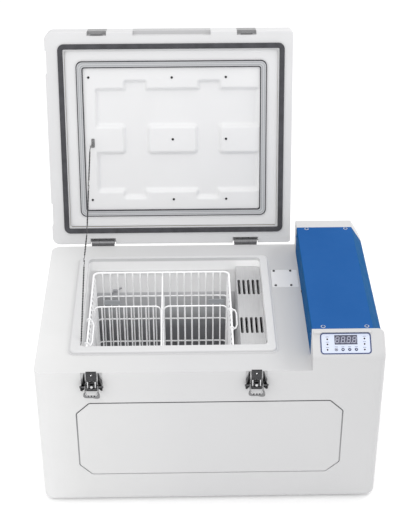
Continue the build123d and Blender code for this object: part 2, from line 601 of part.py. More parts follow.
with BuildPart() as latch_bases:
    for lx in LATCH_X:
        block(lx - 23, lx + 23, -1.5, 0, 334.5, 376.2)
        for sgn in (-1, 1):
            d = Vector(sgn * EAR_OUT, -EAR_FWD, 0).normalized()
            ear = Plane(origin=(X(lx + sgn * EAR_X), Y(-0.8), 0), x_dir=d, z_dir=(d.Y, -d.X, 0))
            outline(ear, [(-0.5, 376.0), (2.5, 376.0), (8.0, 359.0), (14.0, 350.0), (16.4, 343.5), (15.6, 338.0), (11.5, 335.0), (-0.5, 335.0)], 0.75, 0.9, True)
        rod((lx - 28, P1[0], P1[1]), (lx + 28, P1[0], P1[1]), 2.05, Mode.SUBTRACT)
        for z in LATCH_Z:
            rod((lx, -3, z), (lx, 1, z), 1.55, Mode.SUBTRACT)
keep(latch_bases, "latch_bases")

with BuildPart() as latch_pivot_pins:
    for lx in LATCH_X:
        for sgn in (-1, 1):
            rod((lx + sgn * 12.2, P1[0], P1[1]), (lx + sgn * 24.8, P1[0], P1[1]), 2.0)
            rod((lx + sgn * 12.0, P1[0], P1[1]), (lx + sgn * 12.9, P1[0], P1[1]), 3.0)
            rod((lx + sgn * 24.4, P1[0], P1[1]), (lx + sgn * 25.4, P1[0], P1[1]), 2.5)
keep(latch_pivot_pins, "latch_pivot_pins")

FOLD = Vector(0, -14.0, 6.0).normalized()        # facing of the lever's finger plate
for side, lx in (("left", LATCH_X[0]), ("right", LATCH_X[1])):
    with BuildPart() as latch_lever:
        # two cheeks, from the pivot to the finger plate
        for x0 in (lx - 14.7, lx + 13.2):
            profile_x([(-5.6, 348.5), (-8.5, 351.0), (-13.5, 350.8), (-16.5, 346.5), (-17.7, 336.2), (-20.6, 329.0),
                       (-14.5, 327.5), (-8.5, 330.2), (-4.4, 331.2), (-3.2, 335.5), (-4.2, 341.0)], x0, x0 + 1.5)
        # finger plate: open in the middle for the claw, and lower at one corner
        finger = Plane(origin=(X(lx), Y(-17.2), 336.0), x_dir=(1, 0, 0), z_dir=(FOLD.X, FOLD.Y, FOLD.Z))
        outline(finger, [(-16.4, 0), (-10.9, 0), (-10.9, -4.0), (-7.2, -6.0), (7.2, -6.0), (10.9, -4.0), (10.9, 0), (16.4, 0), (17.7, -3.8),
                         (18.2, -8.8), (17.4, -12.2), (13.0, -13.6), (7.0, -13.1), (2.4, -11.9), (-11.4, -11.7), (-15.8, -10.6), (-17.8, -7.6), (-17.4, -3.4)], 1.5, 1.1)
        # claw pivot
        rod((lx - 13.6, P2[0], P2[1]), (lx + 13.6, P2[0], P2[1]), 2.0)
        rod((lx - 22, P1[0], P1[1]), (lx + 22, P1[0], P1[1]), 2.06, Mode.SUBTRACT)
    keep(latch_lever, "latch_lever_" + side)
    with BuildPart() as latch_claw:
        rod((lx - 11.5, P2[0], P2[1]), (lx + 11.5, P2[0], P2[1]), 3.3)
        for dx in (-8.5, 8.5):
            rod((lx + dx, P2[0], P2[1]), (lx + dx, P2[0], 360.5), 1.6)
        rod((lx - 8.5, P2[0], 353.2), (lx + 8.5, P2[0], 353.2), 1.2)
        # adjusting nut on its cross plate
        block(lx - 8.5, lx + 8.5, -7.3, -5.9, 340.6, 349.4)
        rod((lx, -9.3, 345.0), (lx, -7.0, 345.0), 3.5)
        rod((lx, -10.0, 345.0), (lx, -8.3, 345.0), 1.5, Mode.SUBTRACT)
        # head plate and its hook
        outline(Plane(origin=(X(lx), Y(-5.9), 0), x_dir=(1, 0, 0), z_dir=(0, -1, 0)),
                [(-8.6, 358.4), (8.6, 358.4), (11.2, 363.5), (11.2, 381.6), (-11.2, 381.6), (-11.2, 363.5)], 1.5)
        block(lx - 11.2, lx + 11.2, -7.4, -2.65, 380.3, 381.6)
        block(lx - 11.2, lx + 11.2, -3.95, -2.65, 378.4, 381.6)
        outline(Plane(origin=(X(lx), Y(-4.5), 0), x_dir=(1, 0, 0), z_dir=(0, -1, 0)), [(-3.0, 376.0), (0, 369.6), (3.0, 376.0)], 5, 0, False, Mode.SUBTRACT)
        rod((lx - 14, P2[0], P2[1]), (lx + 14, P2[0], P2[1]), 2.06, Mode.SUBTRACT)
    keep(latch_claw, "latch_claw_" + side)

# ===========================================================================
# Lid (drawn on the open lid's own plane: x across, s from the hinge, h inward)
# ===========================================================================
G = (COL[0] - 41.8, COL[1] + 41.8, AX_Y - COL[3] - 41.8, AX_Y - COL[2] + 41.8)   # gasket, outer
IR = (COL[0], COL[1], AX_Y - COL[3], AX_Y - COL[2])                             # inner seal, outer
PAN = (G[0] + 15, G[1] - 15, G[2] + 15, G[3] - 15)                              # inner panel
HP = -9.2                                                                        # panel face
HINGE_X = ((97.5, 152.9), (449.5, 505.0))
KEEP_X = ((101.0, 147.0), (455.5, 501.5))
REC = (116.7, 509.0, 128.7, 381.8)

with BuildPart() as lid_shell:
    with BuildSketch(LIDP.offset(LID_H1)):
        with Locations(((LID_X0 + LID_X1) / 2, (LID_S0 + LID_S1) / 2)):
            Rectangle(LID_X1 - LID_X0, LID_S1 - LID_S0)
    extrude(amount=LID_H0 - LID_H1)
    ups = lid_shell.edges().filter_by(LID_IN)
    left = ups.filter_by(lambda e: e.center().X < 0)
    right = ups.filter_by(lambda e: e.center().X > 0)
    fillet(left, 18)
    right = lid_shell.edges().filter_by(LID_IN).filter_by(lambda e: e.center().X > X(300))
    fillet(right, 7)
    outer = lid_shell.faces().sort_by(LID_IN)[0]
    fillet(outer.edges(), 6)
    under = lid_shell.faces().sort_by(LID_IN)[-1]
    fillet(under.edges(), 1.5)
    # hollow, opened on the inside
    slab(LIDP, LID_X0 + T, LID_X1 - T, LID_S0 + T, LID_S1 - T - 9, LID_H0 + T, LID_H1 - T, 5, Mode.SUBTRACT)
    slab(LIDP, PAN[0], PAN[1], PAN[2], PAN[3], -20, 5, 6, Mode.SUBTRACT)
    # gasket groove
    ring(LIDP, G[0] - 0.2, G[1] + 0.2, G[2] - 0.2, G[3] + 0.2, 12.4, LID_H1 - 2.2, 5, 15, Mode.SUBTRACT)
    # hinge notches in the back edge, each with its own walls
    for x0, x1 in HINGE_X:
        slab(LIDP, x0 - 7.0, x1 + 7.0, -3.0, 14.6, -24.0, LID_H1 - 0.5, 0)
        slab(LIDP, x0 - 3.4, x1 + 3.4, -10, 11.2, -20.0, 5, 0, Mode.SUBTRACT)
    # keeper recesses and finger scoop in the front edge
    for x0, x1 in KEEP_X:
        slab(LIDP, x0, x1, 509.6, 530, -22.0, 5, 0, Mode.SUBTRACT)
    slab(LIDP, 209, 393.5, 508.6, 530, -21.0, 5, 0, Mode.SUBTRACT)
    # grip notches in the left edge
    for s0, s1 in ((41.4, 101.4), (417.3, 475.3)):
        slab(LIDP, -10, LID_X0 + 4.0 - 0.8, s0, s1, -30.0, 5, 0, Mode.SUBTRACT)
keep(lid_shell, "lid_shell")

with BuildPart() as lid_insulation:
    slab(LIDP, LID_X0 + T + 0.3, LID_X1 - T - 0.3, LID_S0 + T + 18, LID_S1 - T - 9.3, LID_H0 + T + 0.3, -20.5, 4.7)
keep(lid_insulation, "lid_insulation")

ISLANDS = [(REC[0] - 1, 182.2, 226.0, 289.5), (243.7, 356.8, 225.5, 289.0), (417.2, REC[1] + 1, 224.5, 288.5)]
TABS = [(184.6, 239.7, 380.0, 401.4), (362.2, 417.4, 380.0, 400.4), (179.4, 236.1, 111.9, 131.0), (358.0, 412.7, 110.7, 131.0)]
with BuildPart() as lid_inner_panel:
    slab(LIDP, PAN[0] + 0.3, PAN[1] - 0.3, PAN[2] + 0.3, PAN[3] - 0.3, -19.6, HP, 6)
    # the recess and its tabs, with three islands left standing
    with BuildSketch(LIDP.offset(HP)):
        with Locations(((REC[0] + REC[1]) / 2, (REC[2] + REC[3]) / 2)):
            Rectangle(REC[1] - REC[0], REC[3] - REC[2])
        for x0, x1, s0, s1 in TABS:
            with Locations(((x0 + x1) / 2, (s0 + s1) / 2)):
                Rectangle(x1 - x0, s1 - s0)
        for x0, x1, s0, s1 in ISLANDS:
            with Locations(((x0 + x1) / 2, (s0 + s1) / 2)):
                Rectangle(x1 - x0, s1 - s0, mode=Mode.SUBTRACT)
        fillet(vertices(), 5)
    extrude(amount=-7.0, mode=Mode.SUBTRACT)
    # hollow back of the raised border
    with BuildSketch(LIDP.offset(-19.7)):
        with Locations(((PAN[0] + PAN[1]) / 2, (PAN[2] + PAN[3]) / 2)):
            RectangleRounded(PAN[1] - PAN[0] - 8, PAN[3] - PAN[2] - 8, 4)
        with Locations(((REC[0] + REC[1]) / 2, (REC[2] + REC[3]) / 2)):
            Rectangle(REC[1] - REC[0] + 8, REC[3] - REC[2] + 50, mode=Mode.SUBTRACT)
    extrude(amount=7.2, mode=Mode.SUBTRACT)
keep(lid_inner_panel, "lid_inner_panel")

with BuildPart() as lid_gasket:
    ring(LIDP, G[0], G[1], G[2], G[3], 12.0, LID_H1 - 2.1, 3.3, 15)
    top = lid_gasket.faces().sort_by(LID_IN)[-1]
    fillet(top.edges(), 2.2)
keep(lid_gasket, "lid_gasket")

with BuildPart() as lid_inner_seal:
    ring(LIDP, IR[0], IR[1], IR[2], IR[3], 15.0, HP, HP + 4.3, 14)
    top = lid_inner_seal.faces().sort_by(LID_IN)[-1]
    fillet(top.edges(), 1.6)
keep(lid_inner_seal, "lid_inner_seal")

LID_SCREWS = [(101.3, 409.8), (300.2, 408.3), (429.3, 408.5), (300.7, 258.0), (429.6, 258.0), (102.3, 107.9), (301.2, 107.7), (430.0, 107.7)]
with BuildPart() as lid_panel_screws:
    for x, s in LID_SCREWS:
        pl = LIDP.offset(HP)
        with BuildSketch(pl):
            with Locations((x, s)):
                Circle(3.0)
        extrude(amount=1.7, taper=18)
        slab(pl, x - 1.9, x + 1.9, s - 0.35, s + 0.35, 0.9, 3, 0, Mode.SUBTRACT)
        slab(pl, x - 0.35, x + 0.35, s - 1.9, s + 1.9, 0.9, 3, 0, Mode.SUBTRACT)
keep(lid_panel_screws, "lid_panel_screws")

with BuildPart() as latch_keepers:
    for x0, x1 in KEEP_X:
        c = (x0 + x1) / 2
        slab(LIDP, c - 14, c + 14, 509.7, 511.2, -18.0, -7.0, 0)
        slab(LIDP, c - 14, c + 14, 509.7, 516.0, -8.5, -7.0, 0)
        slab(LIDP, c - 14, c + 14, 514.5, 516.0, -8.5, 2.2, 0)
        slab(LIDP, c - 14, c + 14, 514.5, 519.2, 0.7, 2.2, 0)
        slab(LIDP, c - 14, c + 14, 518.0, 519.2, -1.2, 2.2, 0)
keep(latch_keepers, "latch_keepers")

HOOK_S, HOOK_H = 245.3, 5.0
with BuildPart() as chain_hook:
    slab(LIDP, 103.6, 111.5, HOOK_S - 6, HOOK_S + 16, HP, HP + 1.6, 2.4)
    slab(LIDP, 103.6, 105.4, HOOK_S - 3, HOOK_S + 3, HP, HOOK_H + 3.2, 0)
keep(chain_hook, "chain_hook")

# hinges: two outer knuckles on the cabinet, the middle one on the lid
KNUCKLE = 8.0
with BuildPart() as cabinet_hinge_leaves:
    for x0, x1 in HINGE_X:
        block(x0, x1, D, D + 2, 338, 371)
        for a, b in ((x0, x0 + 18.2), (x1 - 18.2, x1)):
            profile_x([(D, 356), (D + 2, 356), (AX_Y + 3.0, 368.0), (AX_Y + 7.4, 376.0), (AX_Y, AX_Z), (AX_Y - 7.9, 378.0), (D, 373.0)], a, b)
            rod((a, AX_Y, AX_Z), (b, AX_Y, AX_Z), KNUCKLE)
        rod((x0 - 1, AX_Y, AX_Z), (x1 + 1, AX_Y, AX_Z), 3.0, Mode.SUBTRACT)
keep(cabinet_hinge_leaves, "cabinet_hinge_leaves")

with BuildPart() as lid_hinge_leaves:
    for x0, x1 in HINGE_X:
        slab(LIDP, x0, x1, 9.2, 11.2, -19.5, -4.0)
        slab(LIDP, x0 + 18.6, x1 - 18.6, 2.0, 10.0, -7.0, -2.2)
        rod((x0 + 18.6, AX_Y, AX_Z), (x1 - 18.6, AX_Y, AX_Z), KNUCKLE)
        rod((x0 - 1, AX_Y, AX_Z), (x1 + 1, AX_Y, AX_Z), 3.06, Mode.SUBTRACT)
keep(lid_hinge_leaves, "lid_hinge_leaves")

with BuildPart() as hinge_pins:
    for x0, x1 in HINGE_X:
        rod((x0 - 0.8, AX_Y, AX_Z), (x1 + 0.8, AX_Y, AX_Z), 3.0)
keep(hinge_pins, "hinge_pins")

# ===========================================================================
# Lid-stay chain: beaded links, each pinned to the next
# ===========================================================================
with BuildPart() as chain_anchor:
    rod((90.5, CH_A[0], CH_A[1]), (99.4, CH_A[0], CH_A[1]), 0.85)
    rod((98.9, CH_A[0], CH_A[1]), (99.9, CH_A[0], CH_A[1]), 2.0)
keep(chain_anchor, "chain_anchor")

hook = lid_point(CH_X + CH_STEP, HOOK_S, HOOK_H)
run = (hook[1] - Y(CH_A[0]), hook[2] - CH_A[1])
length = hypot(*run)
u = (run[0] / length, run[1] / length)
print("chain length", round(length, 2), "angle", round(degrees(atan2(u[1], u[0])), 3))
total = sum(CH_L)
at = 0.0
BEAD, BEAD_PITCH = 1.7, 4.15
for i, share in enumerate(CH_L):
    seg = length * share / total
    x_in = CH_X if i < 2 else CH_X + CH_STEP
    x_out = CH_X if i < 1 else CH_X + CH_STEP
    start = Vector(X(x_in), Y(CH_A[0]) + u[0] * at, CH_A[1] + u[1] * at)
    stop = Vector(X(x_out), start.Y + u[0] * seg, start.Z + u[1] * seg)
    # local frames: x along the chain, y across it in its plane, z along +X
    pl = Plane(origin=start, x_dir=(0, u[0], u[1]), z_dir=(1, 0, 0))
    end = Plane(origin=stop, x_dir=(0, u[0], u[1]), z_dir=(1, 0, 0))
    last = i == len(CH_L) - 1
    with BuildPart() as link:
        # eye at the start, on the left half of the chain's width
        with BuildSketch(pl.offset(-1.5)):
            Circle(2.2)
            with Locations((4.0, 0)):
                Rectangle(8.0, 1.8)
            Circle(0.93, mode=Mode.SUBTRACT)
        extrude(amount=1.3)
        # beads, on a line that steps sideways in the second link
        b0 = start + Vector(0, u[0], u[1]) * 7.0
        b1 = stop - Vector(0, u[0], u[1]) * 7.0
        run_x = (b1 - b0).normalized()
        bead_pl = Plane(origin=b0, x_dir=run_x, z_dir=run_x.cross(Vector(0, -u[1], u[0])))
        span = (b1 - b0).length
        n = round(span / BEAD_PITCH)
        pitch = span / n
        with BuildSketch(bead_pl):
            with BuildLine():
                pts = [(-0.6, 0), (-0.6, 0.62)]
                for k in range(n):
                    c0 = pitch * (k + 0.5)
                    # smaller beads near the pins, so that a folded link lies clear of its neighbour
                    rb = min(BEAD, 0.106 * (7.0 + min(c0, span - c0)))
                    for a in (152, 122, 90, 58, 28):
                        pts.append((c0 + rb * cos(radians(a)), rb * sin(radians(a))))
                pts += [(span + 0.6, 0.62), (span + 0.6, 0)]
                Polyline(*pts, close=True)
            make_face()
        revolve(axis=Axis(b0, run_x))
        # eye at the end, on the right half, with its pin
        with BuildSketch(end.offset(0.2)):
            Circle(2.2)
            with Locations((-4.0, 0)):
                Rectangle(8.0, 1.8)
        extrude(amount=1.3)
        if not last:
            with BuildSketch(end.offset(-1.5)):
                Circle(0.85)
            extrude(amount=2.5)
    keep(link, "chain_link_%d" % (i + 1))
    at += seg

# ===========================================================================
# Wire basket
# ===========================================================================
with BuildPart() as basket_rim:
    ring(Plane.XY, X(BX0 - 2.25), X(BX1 + 2.25), Y(BY0 - 2.25), Y(BY1 + 2.25), 4.5, BZ - 2.25, BZ + 2.25, 16)
    round_edges = basket_rim.faces().filter_by(Axis.Z).edges()
    fillet(round_edges, 2.15)
keep(basket_rim, "basket_rim")

RINGS = (278.0, 210.0, 141.0, BFLOOR)
PITCH = 18.4
CX = 272.0                     # lengthwise divider
CY = 291.0                     # crosswise divider


def steps(lo, hi, n):
    return [lo + (hi - lo) * i / n for i in range(1, n)]


def bars(size, centres):
    """Straight wires of one size, laid at many places."""
    with Locations(*[(X(x), Y(y), z) for x, y, z in centres]):
        Box(*size)


XS = steps(BX0 + 3, CX, 9) + steps(CX, BX1 - 3, 9)
YS = steps(BY0 + 3, BY1 - 3, 18)
WALL_Z0, WALL_Z1 = BFLOOR - 1.5, BZ - 2.4
BMX, BMY = (BX0 + BX1) / 2, (BY0 + BY1) / 2
with BuildPart() as basket_walls:
    for y, dy in ((BY0 + 2.4, 1), (BY1 - 2.4, -1)):
        bars((BX1 - BX0 - 24, 3.8, 3.8), [(BMX, y, z) for z in RINGS])
        bars((3.2, 3.2, WALL_Z1 - WALL_Z0), [(x, y + dy * 2.2, (WALL_Z0 + WALL_Z1) / 2) for x in XS])
    for x, dx in ((BX0 + 2.4, 1), (BX1 - 2.4, -1)):
        bars((3.8, BY1 - BY0 - 24, 3.8), [(x, BMY, z) for z in RINGS])
        bars((3.2, 3.2, WALL_Z1 - WALL_Z0), [(x + dx * 2.2, y, (WALL_Z0 + WALL_Z1) / 2) for y in YS])
    # floor grid
    bars((BX1 - BX0 - 14.4, 3, 2.7), [(BMX, y, BFLOOR - 0.15) for y in YS])
    bars((3, BY1 - BY0 - 14.4, 2.5), [(x, BMY, BFLOOR + 1.75) for x in (BX0 + 14, XS[3], XS[8] + 9, XS[12], BX1 - 14)])
keep(basket_walls, "basket_walls")

DZ0, DZ1 = BFLOOR + 4.0, 342.5
with BuildPart() as basket_dividers:
    bars((3, BY1 - BY0 - 16, 3), [(CX, BMY, z) for z in (DZ1, 278.0, 210.0, 141.0)])
    bars((2.4, 2.4, DZ1 - DZ0), [(CX, y, (DZ0 + DZ1) / 2) for y in YS if abs(y - CY) > 4])
    for x0, x1 in ((BX0 + 9, CX - 1.8), (CX + 1.8, BX1 - 9)):
        bars((x1 - x0, 3.6, 3.6), [((x0 + x1) / 2, CY, z) for z in (DZ1 - 0.3, 93.0)])
        bars((3, 3, DZ1 + 1.4 - DZ0), [(x, CY, (DZ0 + DZ1 + 1.4) / 2) for x in steps(x0 + 1.5, x1 - 1.5, 9) + [x0 + 1.5, x1 - 1.5]])
keep(basket_dividers, "basket_dividers")

HANDLE_Y = {"left": (141.3, 232.9), "right": (195.0, 267.3)}
ARM = 12.0


def handle(px, elev, ys):
    """A wire bail on the rim at px; elev is its direction, from +X towards +Z."""
    e = radians(elev)
    d = (cos(e), sin(e))
    for y in ys:
        with BuildSketch(Plane(origin=(X(px) + 4.4 * cos(e + pi / 2), Y(y), BZ + 4.4 * sin(e + pi / 2)), z_dir=(cos(e), 0, sin(e)))) as sk:
            Circle(1.7)
        revolve(sk.sketch, axis=Axis((X(px), Y(y), BZ), (0, 1, 0)))
    y0, y1 = ys
    p = [(px + 4.4 * d[0], y0, BZ + 4.4 * d[1]), (px + 8.5 * d[0], y0, BZ + 8.5 * d[1]),
         (px + ARM * d[0], y0 + 14, BZ + ARM * d[1]), (px + ARM * d[0], y1 - 14, BZ + ARM * d[1]),
         (px + 8.5 * d[0], y1, BZ + 8.5 * d[1]), (px + 4.4 * d[0], y1, BZ + 4.4 * d[1])]
    with BuildLine() as path:
        FilletPolyline(*[(X(a), Y(b), c) for a, b, c in p], radius=2.4)
    with BuildSketch(Plane(origin=path.line @ 0, z_dir=path.line % 0)) as sk:
        Circle(1.7)
    sweep(sk.sketch, path=path.line)


with BuildPart() as basket_handle_left:
    handle(BX0, -25, HANDLE_Y["left"])
keep(basket_handle_left, "basket_handle_left")

with BuildPart() as basket_handle_right:
    handle(BX1, 5, HANDLE_Y["right"])
keep(basket_handle_right, "basket_handle_right")

with BuildPart() as basket_tags:
    for x0 in (127.0, 383.5):
        block(x0, x0 + 39, BY1 - 8.6, BY1 - 6.4, 257, 266)
        block(x0, x0 + 39, BY1 - 8.6, BY1 - 6.4, 264.5, 270)
keep(basket_tags, "basket_tags")

print(len(written), "nodes written")
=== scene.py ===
import bpy, bmesh, math, random
from mathutils import Vector, Matrix


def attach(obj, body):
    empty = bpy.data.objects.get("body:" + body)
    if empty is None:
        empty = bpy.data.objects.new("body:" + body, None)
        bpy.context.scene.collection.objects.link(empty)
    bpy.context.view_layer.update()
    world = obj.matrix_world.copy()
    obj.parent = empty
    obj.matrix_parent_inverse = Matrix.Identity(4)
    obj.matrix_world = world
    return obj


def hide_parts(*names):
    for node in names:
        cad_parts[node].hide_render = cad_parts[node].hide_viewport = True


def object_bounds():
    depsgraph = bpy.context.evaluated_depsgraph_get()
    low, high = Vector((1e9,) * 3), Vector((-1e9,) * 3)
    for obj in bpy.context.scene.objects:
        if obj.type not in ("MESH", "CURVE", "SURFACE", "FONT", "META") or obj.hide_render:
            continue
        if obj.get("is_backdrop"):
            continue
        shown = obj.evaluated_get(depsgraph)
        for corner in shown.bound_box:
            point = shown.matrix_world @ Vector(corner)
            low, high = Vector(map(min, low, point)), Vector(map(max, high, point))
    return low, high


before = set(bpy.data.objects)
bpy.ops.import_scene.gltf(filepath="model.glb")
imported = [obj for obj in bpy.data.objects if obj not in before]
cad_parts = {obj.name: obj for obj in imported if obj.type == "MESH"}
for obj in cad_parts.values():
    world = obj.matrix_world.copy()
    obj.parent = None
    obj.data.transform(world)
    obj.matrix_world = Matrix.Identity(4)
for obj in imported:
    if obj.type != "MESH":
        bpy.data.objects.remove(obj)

CAD_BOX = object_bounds()

# Helper coordinates: millimetres from the left side, the front face and the
# floor; P() turns them into the frame's metres.
XC, YC = 378.5, 343.723
OPEN = math.radians(105.3)
AX_Y, AX_Z = 513.7, 378.8
SLOPE = math.atan2(39.0, 55.0)


def P(x, y, z):
    return Vector(((x - XC) / 1000, (y - YC) / 1000, z / 1000))


def LID(x, s, h):
    c, n = math.cos(OPEN), math.sin(OPEN)
    return P(x, AX_Y - s * c - h * n, AX_Z + s * n - h * c)


def SLP(x, v, h):
    """A point on the control slope: v up the slope from its top edge, h above it."""
    return P(x, 55 + v * math.cos(SLOPE) - h * math.sin(SLOPE), 445 + v * math.sin(SLOPE) + h * math.cos(SLOPE))


# ---------------------------------------------------------------------------
# Materials
# ---------------------------------------------------------------------------
def srgb(r, g, b):
    f = lambda c: (c / 255 / 12.92) if c <= 10 else ((c / 255 + 0.055) / 1.055) ** 2.4
    return (f(r), f(g), f(b), 1.0)


class Mat:
    """A principled material with object-space texture nodes."""

    def __init__(self, name, base, rough, metallic=0.0, spec=0.5, coat=0.0, coat_rough=0.1):
        self.m = bpy.data.materials.new(name)
        self.m.use_nodes = True
        self.nt = self.m.node_tree
        self.nt.nodes.clear()
        self.out = self.nt.nodes.new("ShaderNodeOutputMaterial")
        self.b = self.nt.nodes.new("ShaderNodeBsdfPrincipled")
        self.nt.links.new(self.b.outputs[0], self.out.inputs[0])
        self.b.inputs["Base Color"].default_value = base
        self.b.inputs["Roughness"].default_value = rough
        self.b.inputs["Metallic"].default_value = metallic
        self.b.inputs["Specular IOR Level"].default_value = spec
        self.b.inputs["Coat Weight"].default_value = coat
        self.b.inputs["Coat Roughness"].default_value = coat_rough
        self.base, self.rough = base, rough
        self.tc = self.nt.nodes.new("ShaderNodeTexCoord")
        self.h = None

    def noise(self, scale, detail=4.0, rough=0.55, stretch=None, dist=0.0):
        n = self.nt.nodes.new("ShaderNodeTexNoise")
        n.inputs["Scale"].default_value = scale
        n.inputs["Detail"].default_value = detail
        n.inputs["Roughness"].default_value = rough
        n.inputs["Distortion"].default_value = dist
        if stretch:
            mp = self.nt.nodes.new("ShaderNodeMapping")
            mp.inputs["Scale"].default_value = stretch
            self.nt.links.new(self.tc.outputs["Object"], mp.inputs[0])
            self.nt.links.new(mp.outputs[0], n.inputs["Vector"])
        else:
            self.nt.links.new(self.tc.outputs["Object"], n.inputs["Vector"])
        return n.outputs["Fac"]

    def voronoi(self, scale, feature="F1"):
        n = self.nt.nodes.new("ShaderNodeTexVoronoi")
        n.feature = feature
        n.inputs["Scale"].default_value = scale
        self.nt.links.new(self.tc.outputs["Object"], n.inputs["Vector"])
        return n.outputs["Distance"]

    def ramp(self, src, stops, interp="LINEAR"):
        r = self.nt.nodes.new("ShaderNodeValToRGB")
        r.color_ramp.interpolation = interp
        e = r.color_ramp.elements
        while len(e) < len(stops):
            e.new(0.5)
        for el, (p, c) in zip(e, stops):
            el.position = p
            el.color = c if len(c) == 4 else (*c, 1)
        self.nt.links.new(src, r.inputs[0])
        return r.outputs[0]

    def vary(self, src, amount=0.04, lo=0.35, hi=0.65):
        """Colour variation round the base colour."""
        a = tuple(max(0, c * (1 - amount)) for c in self.base[:3])
        b = tuple(min(1, c * (1 + amount)) for c in self.base[:3])
        self.colour(self.ramp(src, [(lo, a), (hi, b)]))
        return self

    def colour(self, out):
        self.nt.links.new(out, self.b.inputs["Base Color"])

    def grey(self, src, lo, hi, p0=0.3, p1=0.7):
        m = self.nt.nodes.new("ShaderNodeMapRange")
        m.inputs["From Min"].default_value = p0
        m.inputs["From Max"].default_value = p1
        m.inputs["To Min"].default_value = lo
        m.inputs["To Max"].default_value = hi
        self.nt.links.new(src, m.inputs["Value"])
        return m.outputs["Result"]

    def roughness(self, src, lo, hi):
        self.nt.links.new(self.grey(src, lo, hi), self.b.inputs["Roughness"])
        return self

    def bump(self, src, strength, distance):
        n = self.nt.nodes.new("ShaderNodeBump")
        n.inputs["Strength"].default_value = strength
        n.inputs["Distance"].default_value = distance
        self.nt.links.new(src, n.inputs["Height"])
        if self.h is not None:
            self.nt.links.new(self.h, n.inputs["Normal"])
        self.h = n.outputs[0]
        self.nt.links.new(self.h, self.b.inputs["Normal"])
        return self


def math_node(m, op, a, b=None):
    n = m.nt.nodes.new("ShaderNodeMath")
    n.operation = op
    for i, v in enumerate((a, b)):
        if v is None:
            continue
        if isinstance(v, (int, float)):
            n.inputs[i].default_value = v
        else:
            m.nt.links.new(v, n.inputs[i])
    return n.outputs[0]


def white_plastic(name, base, rough=0.42, grain=1500, gstr=0.10, scuff=0.02, spec=0.45):
    m = Mat(name, base, rough, spec=spec)
    big = m.noise(5, 3)
    m.vary(big, scuff)
    m.roughness(m.noise(60, 5), rough - 0.06, rough + 0.08)
    m.bump(m.noise(7, 2), 0.10, 0.002)
    m.bump(m.noise(grain, 2), gstr, 0.00012)
    return m.m


def metal(name, base, rough, stretch=(6, 6, 400), scale=3.0, strength=0.06, var=0.08):
    m = Mat(name, base, rough, metallic=1.0)
    grain = m.noise(scale, 6, 0.7, stretch=stretch)
    m.vary(grain, var)
    m.roughness(grain, max(0.04, rough - 0.07), rough + 0.10)
    m.bump(grain, strength, 0.0001)
    return m.m


MAT = {}


def band(m, axis, a, b):
    """0 before a and 1 after b along one object axis, in metres."""
    n = m.nt.nodes.new("ShaderNodeSeparateXYZ")
    m.nt.links.new(m.tc.outputs["Object"], n.inputs[0])
    return m.grey(n.outputs["XYZ".index(axis)], 0.0, 1.0, a, b)


def shell_white():
    """The cabinet's white, painted lighter at the left and darker towards the right as a painted light falloff, with
    painted shade in the groove of the front face, darker towards its top and lighter at its bottom as a painted
    highlight.
    """
    m = Mat("moulded_white", srgb(203, 203, 204), 0.42, spec=0.45)
    # painted light: the white is painted lighter at the left end and darker towards the right, a light falloff across
    # the width, with random mottle added
    painted_falloff_and_mottle = math_node(m, "ADD", band(m, "X", -0.3785, 0.3785), m.grey(m.noise(5, 3), -0.03, 0.03))
    base = m.ramp(painted_falloff_and_mottle, [(0.0, srgb(222, 222, 222)), (0.14, srgb(212, 212, 212)), (0.42, srgb(204, 204, 205)), (1.0, srgb(198, 198, 199))])
    y0 = -YC / 1000
    # painted shade: the groove round the front face is painted grey, darkest towards its top, with a lighter painted
    # highlight at its bottom
    painted_shade_mask = band(m, "Y", y0 + 0.0002, y0 + 0.0009)
    for axis, a, b in (("Y", y0 + 0.0034, y0 + 0.0030), ("X", -0.320, -0.310), ("X", 0.320, 0.310), ("Z", 0.070, 0.074), ("Z", 0.304, 0.300)):
        painted_shade_mask = math_node(m, "MULTIPLY", painted_shade_mask, band(m, axis, a, b))
    groove_shade_and_highlight = m.nt.nodes.new("ShaderNodeMix")
    groove_shade_and_highlight.data_type = "RGBA"
    m.nt.links.new(painted_shade_mask, groove_shade_and_highlight.inputs["Factor"])
    m.nt.links.new(base, groove_shade_and_highlight.inputs[6])
    m.nt.links.new(m.ramp(band(m, "Z", 0.070, 0.306), [(0.05, srgb(214, 214, 215)), (0.10, srgb(176, 176, 178)), (0.70, srgb(150, 151, 153)), (0.86, srgb(120, 121, 123))]), groove_shade_and_highlight.inputs[7])
    m.colour(groove_shade_and_highlight.outputs[2])
    m.roughness(m.noise(60, 5), 0.36, 0.50)
    m.bump(m.noise(7, 2), 0.10, 0.002)
    m.bump(m.noise(1500, 2), 0.10, 0.00012)
    return m.m


MAT["white"] = shell_white()
MAT["plate"] = white_plastic("plate_white", srgb(226, 226, 227), 0.36, 1800, 0.06, 0.012)
MAT["soft"] = white_plastic("seam_grey", srgb(150, 151, 153), 0.5, 1500, 0.05, 0.03)


def collar_white():
    """Collar: its inner skirt is painted a purer white than its top face, painted light inside the mouth of the tub.
    """
    m = Mat("collar_white", srgb(212, 212, 213), 0.34, spec=0.45)
    # painted light: below the top face the skirt is painted near white, standing in for light falling into the mouth
    h = band(m, "Z", 0.3730, 0.3762)
    h = math_node(m, "ADD", h, m.grey(m.noise(6, 3), -0.04, 0.04))
    m.colour(m.ramp(h, [(0.0, srgb(250, 250, 250)), (0.25, srgb(246, 246, 246)), (0.9, srgb(214, 214, 215)), (1.0, srgb(210, 210, 211))]))
    m.roughness(m.noise(60, 5), 0.28, 0.42)
    m.bump(m.noise(7, 2), 0.10, 0.002)
    m.bump(m.noise(1800, 2), 0.06, 0.00012)
    return m.m


MAT["collar"] = collar_white()


